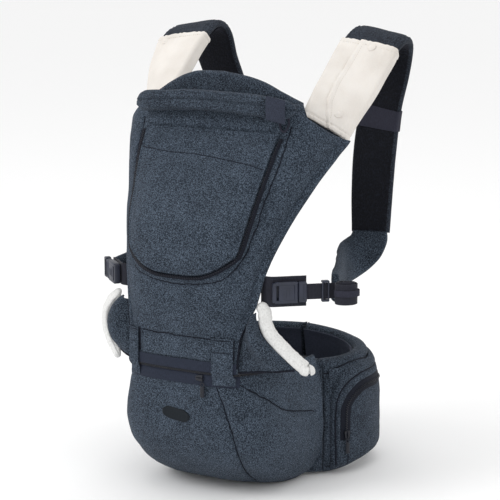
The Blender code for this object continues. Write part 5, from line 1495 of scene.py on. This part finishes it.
    # painted shade: dark tubes along the fold creases of the strap end
    fl_ = P[kk, 0] + (P[kk, -1] - P[kk, 0]) * (0.56 + 0.10 * np.sin(tw[kk] * 3))[:, None] + Nn[kk] * 0.006
    shade_cord(f"strap_tail_{side}", mir(fl_, s), 0.0012, body=bod)
    shade_cord(f"strap_tail_{side}", mir(fl_ - Nn[kk] * 0.012, s), 0.0012, body=bod)
    o.parent = None
    a_pt, b_pt = Sw[0, :3], Sw[int(len(Sw) * 0.62), :3]
    row(mir(a_pt, s))
    row(mir(b_pt, s))
    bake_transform(o)

    # -------------------------------------------- rolled tail of the webbing
    if side == "right":
        c, e1, e2 = O3 + D3 * 0.1090 + N3 * 0.0190, D3, N3
    else:
        c, e1, e2 = V3(0.1660, -0.0500, 0.2770), V3(0, 1, 0), V3(1, 0, 0)
    tu = np.linspace(0, 1, 150)
    an = tu * 2 * math.pi * 3.6 + 0.6
    rr_ = 0.0022 + 0.0092 * tu
    Q = c + np.outer(rr_ * 1.32 * np.cos(an), e1) + np.outer(rr_ * 0.95 * np.sin(an), e2)
    Q[:, 2] += 0.0016 * np.sin(an * 0.5 + 0.6)
    tq = np.gradient(Q, axis=0)
    tq /= np.linalg.norm(tq, axis=1, keepdims=True)
    nq = np.cross(np.tile(Z3, (len(Q), 1)), tq)
    hz = (ends(14, 0.026, 0.0008) - 0.5) * 0.0260
    P = Q[:, None, :] + Z3 * hz[None, :, None]
    slab(f"web_roll_{side}", mir(P, s), 0.0008, -0.0008, "web", bod, f"webbing_roll_{side}", "webbing",
         N=mir(np.broadcast_to(nq[:, None, :], P.shape), s))
    kq = [c + e1 * 0.0158 * math.cos(v) + e2 * 0.0116 * math.sin(v) for v in np.linspace(0, 2 * math.pi, 49)[:-1]]
    R = []
    for i in range(48):
        d_ = kq[i] - c
        d_ = d_ / np.linalg.norm(d_)
        R.append([kq[i] + d_ * x + Z3 * y for x, y in rrect(0.0012, 0.0080, 0.0005, 2)])
    loft(f"roll_keeper_{side}", mir(np.array(R), s), "elastic", bod, closed=True)

# guard strap over the end of the front zip, in one piece across the fold line
for nm, x0, x1, rp in (("zip_guard", 0.0480, 0.0755, ("zip_guard_upper_right", "zip_guard_lower_right")), ("zip_guard_left", -0.0778, -0.0615, ())):
    Xg, Tg = np.meshgrid(x0 + (x1 - x0) * ends(26, x1 - x0, 0.0010), ends(60, 0.056, 0.0010), indexing="ij")
    Zg = 0.1570 + (0.2190 - 0.1570) * Tg
    A_, B_ = seat_front(Xg, np.minimum(Zg, 0.169)), panel_pt(Xg, np.maximum(Zg, 0.1735))
    wgt = smooth((Zg - 0.166) / 0.011)[..., None]
    P = A_ * (1 - wgt) + B_ * wgt
    P[..., 2] = Zg
    P[..., 1] -= 0.0014 * np.exp(-((Zg - 0.171) / 0.010) ** 2)
    f = 0.0044 + 0.0006 * fbm(P, 60, 121) - 0.0012 * np.exp(-((Zg - 0.2000) / 0.0012) ** 2) - 0.0008 * np.exp(-((Zg - 0.2165) / 0.0010) ** 2)
    f = f - 0.0006 * np.exp(-((Xg - x0 - 0.0018) / 0.0008) ** 2) - 0.0006 * np.exp(-((Xg - x1 + 0.0018) / 0.0008) ** 2)
    o = slab(nm, P, f, 0.0024, "melange", "carrier_panel", rp, "melange_fabric" if rp else None, toward=V3(0, -1, 0), ride=False)
    fr = lambda x, z: P[int(np.argmin(np.abs(Xg[:, 0] - x))), int(np.argmin(np.abs(Zg[0] - z)))] + V3(0, -0.004, 0)
    for z0 in (0.2000, 0.2165):
        line_ = [fr(x, z0) for x in np.linspace(x0 + 0.0025, x1 - 0.0025, 14)]
        # painted shade: dark tube in each seam groove across the guard strap
        shade_cord(nm, line_, 0.0006, body="carrier_panel")
        sew(nm, line_, side=0.0016, outward=V3(0, -1, 0), rad=0.00036, body="carrier_panel")
    for xx in (x0 + 0.0028, x1 - 0.0028):
        sew(nm, [fr(xx, z) for z in np.linspace(0.1800, 0.2160, 20)], outward=V3(0, -1, 0), rad=0.00036, body="carrier_panel")
    # painted shadow: dark tubes in the gaps along both sides of the guard strap
    for xx in (x0 + 0.0003, x1 - 0.0003):
        shade_cord("panel_shell", [panel_pt(xx, z) + V3(0, -0.0010, 0) for z in np.linspace(0.1900, 0.2190, 16)], 0.0016)
    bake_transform(o)

# strip of cloth that joins the head support to the top of the panel
xs_ = (ends(80, 0.222, 0.002) - 0.5) * 0.2225
vs_ = ends(20, 0.035, 0.001)
X, V_ = np.meshgrid(xs_, vs_, indexing="ij")
yb_ = HY - 0.0040 + 0.45 * X * X
X = X * (1 + 0.13 * (1 - V_))
ya, za = panel_pt(X, np.full_like(X, 0.4950))[..., 1] + 0.0015, top_z(X) - 0.0040
zb_ = np.full_like(X, HZ + 0.0050)
P = np.stack([X, ya + (yb_ - ya) * V_, za + (zb_ - za) * V_ + 0.0035 * np.sin(np.pi * V_)], -1)
o = slab("head_neck", P, 0.0014 + 0.0005 * fbm(P, 40, 17), -0.0012, "melange_deep", "carrier_panel", toward=V3(0, -0.3, 1), ride=False)
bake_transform(o)

# ------------------------------------------------------------------ the back
RY = RING_YC + RING_B
for side, s in (("right", 1.0), ("left", -1.0)):
    aa = 146.0 + 20.0 * ends(40, 0.045, 0.0008)
    A, Q = np.meshgrid(s * aa, (ends(20, 0.025, 0.0008) - 0.5) * 0.025 + 0.098, indexing="ij")
    P, Nr = ring_pt(A, Q), ring_n(A)
    if side == "left":
        # the fixed end runs on from the belt into the buckle
        base_ = [ring_pt(-a_, 0.098) for a_ in np.linspace(146, 163, 12)]
        base_ += [V3(-0.0345, RY + 0.0046, 0.098), V3(-0.0262, RY + 0.0060, 0.098)]
        run_ = resample(spline(base_, 6), 0.0012)
        P = run_[:, None, :] + Z3 * ((ends(20, 0.025, 0.0008) - 0.5) * 0.025)[None, :, None]
        Nr = grid_normals(P, V3(0, 1, 0))
    slab(f"web_rear_{side}", P, 0.0020 + 0.0002 * fbm(P, 80, 5), 0.0006, "web", "hip_belt", f"rear_webbing_{side}", "webbing", N=Nr)
    for z in (0.0885, 0.1075):
        sew(f"web_rear_{side}", ring_pt(s * aa[4:-4], z, 0.0022), rad=0.00034)
    for a0 in (148.0, 153.0):
        sew(f"web_rear_{side}", ring_pt(np.full(14, s * a0), np.linspace(0.0885, 0.1075, 14), 0.0022), rad=0.00034)
ux, uo = V3(1, 0, 0), V3(0, 1, 0)
rb = lambda x, y, z: V3(x, RY + 0.0068 + y, 0.098 + z)
parts = []
for q in (1, -1):
    parts.append(rbox(rb(-0.0105, 0, q * 0.0141), ux, Z3, uo, 0.0390, 0.0048, 0.0102, 0.0016, 3))
parts.append(rbox(rb(-0.0285, 0, 0), ux, Z3, uo, 0.0060, 0.0300, 0.0096, 0.0018, 3))
parts.append(rbox(rb(-0.0100, 0.0040, 0), ux, Z3, uo, 0.0260, 0.0250, 0.0024, 0.0010, 3))
parts.append(rbox(rb(-0.0100, -0.0040, 0), ux, Z3, uo, 0.0340, 0.0280, 0.0022, 0.0008, 2))
parts.append(rbox(rb(0.0062, 0, 0), ux, Z3, uo, 0.0060, 0.0328, 0.0106, 0.0022, 3))
parts.append(rbox(rb(-0.0100, 0.0052, 0), ux, Z3, uo, 0.0170, 0.0150, 0.0016, 0.0007, 3))
joined("rear_buckle_shell", parts, "buckle", "hip_belt", "rear_buckle_female", "buckle_plastic")
parts = [rbox(rb(0.0178, 0, 0), ux, Z3, uo, 0.0150, 0.0308, 0.0100, 0.0026, 3),
         rbox(rb(-0.0020, 0, 0), ux, Z3, uo, 0.0260, 0.0044, 0.0032, 0.0009, 2),
         rbox(rb(0.0212, 0.0053, 0), ux, Z3, uo, 0.0024, 0.0230, 0.0012, 0.0005, 2)]
for q in (1, -1):
    parts.append(rbox(rb(0.0000, 0, q * 0.0090), ux, Z3, uo, 0.0230, 0.0028, 0.0040, 0.0010, 2))
    parts.append(rbox(rb(-0.0150, 0, q * 0.0098), ux, Z3, uo, 0.0080, 0.0040, 0.0042, 0.0016, 3))
joined("rear_buckle_prongs", parts, "buckle", "rear_buckle_body", "rear_buckle_male", "buckle_plastic")
X, Q = np.meshgrid(np.linspace(0.0240, 0.0520, 40), (ends(20, 0.025, 0.0009) - 0.5) * 0.025, indexing="ij")
P = np.stack([X, np.full_like(X, RY + 0.0068), 0.098 + Q], -1)
wv = 0.0003 * fbm(P, 80, 9)
slab("web_rear_tail", P, 0.0009 + wv, -0.0009 + wv, "web", "rear_buckle_body", "rear_webbing_tail", "webbing", toward=uo)

finish_stitches()

for nm, held, on in ([("seat_cover", "stretched", ["seat_foam"]), ("panel_shell", "stretched", []), ("panel_inside", "laid", ["panel_shell"]),
                      ("flap_cover", "laid", ["panel_shell"]), ("vent_window", "stretched", ["panel_shell"]),
                      ("side_pocket", "stretched", ["waist_wing_right"]), ("zip_guard", "laid", ["panel_shell"]),
                      ("zip_guard_left", "laid", ["panel_shell"])]
                     + [(f"{n_}_{sd}", h_, [f"{r_}_{sd}"]) for sd in ("right", "left") for n_, h_, r_ in (
                         ("gusset", "gathered", "cuff"), ("strap_sleeve", "stretched", "strap_pad"), ("strap_mesh_face", "laid", "strap_pad"),
                         ("belt_inner", "laid", "waist_wing"), ("web_roll", "folded", "roll_keeper"), ("guard_tab", "stretched", "gusset"),
                         ("web_side", "stretched", "ladder"), ("web_rear", "laid", "waist_wing"), ("elastic_band", "stretched", "strap_pad"))]
                     + [("web_rear_tail", "stretched", ["rear_buckle_prongs"]), ("hood_holder", "laid", ["hood_roll"]),
                        ("head_neck", "stretched", ["panel_shell"])]):
    w_, l_, a_ = FLAT[nm]
    a_ = min(a_, w_ * l_)
    print(f"FLAT {nm} {w_:.3f} x {l_:.3f} m, {a_:.5f} m2")

# --------------------------------------------------------------------- stage
sc = bpy.context.scene
bpy.ops.mesh.primitive_plane_add(size=80, location=(0, 0, -0.0002))
floor = bpy.context.object
floor.name = "floor"
fm = bpy.data.materials.new("floor")
fm.use_nodes = True
fm.node_tree.nodes["Principled BSDF"].inputs["Base Color"].default_value = (0.96, 0.96, 0.96, 1)
fm.node_tree.nodes["Principled BSDF"].inputs["Roughness"].default_value = 0.9
floor.data.materials.append(fm)

world = bpy.data.worlds.new("studio")
world.use_nodes = True
world.node_tree.nodes["Background"].inputs["Color"].default_value = (1, 1, 1, 1)
world.node_tree.nodes["Background"].inputs["Strength"].default_value = 0.95
sc.world = world


def area(name, loc, target, size, power):
    d = bpy.data.lights.new(name, "AREA")
    d.shape = "RECTANGLE"
    d.size, d.size_y = size
    d.energy = power
    o_ = bpy.data.objects.new(name, d)
    o_.location = loc
    o_.rotation_euler = (Vector(target) - Vector(loc)).to_track_quat("-Z", "Y").to_euler()
    sc.collection.objects.link(o_)


area("key", (-1.6, -2.2, 2.2), (0, 0, 0.3), (1.4, 1.4), 34)
area("fill", (2.4, -1.4, 1.4), (0, 0, 0.3), (1.8, 1.8), 6)
area("top", (0.2, 0.6, 2.6), (0, 0, 0.3), (1.6, 1.6), 6)

az, el, dist = math.radians(30.0), math.radians(11.0), 2.5
target = Vector((-0.0071, -0.0023, 0.29625))
b = Vector((math.sin(az) * math.cos(el), -math.cos(az) * math.cos(el), math.sin(el)))
cam = bpy.data.cameras.new("camera")
cam.sensor_width = 36.0
cam.lens = 36.0 * dist / (0.00134 * 500)
co_ = bpy.data.objects.new("camera", cam)
co_.location = target + b * dist
co_.rotation_euler = (-b).to_track_quat("-Z", "Y").to_euler()
sc.collection.objects.link(co_)
sc.camera = co_
sc.view_settings.view_transform = "Standard"
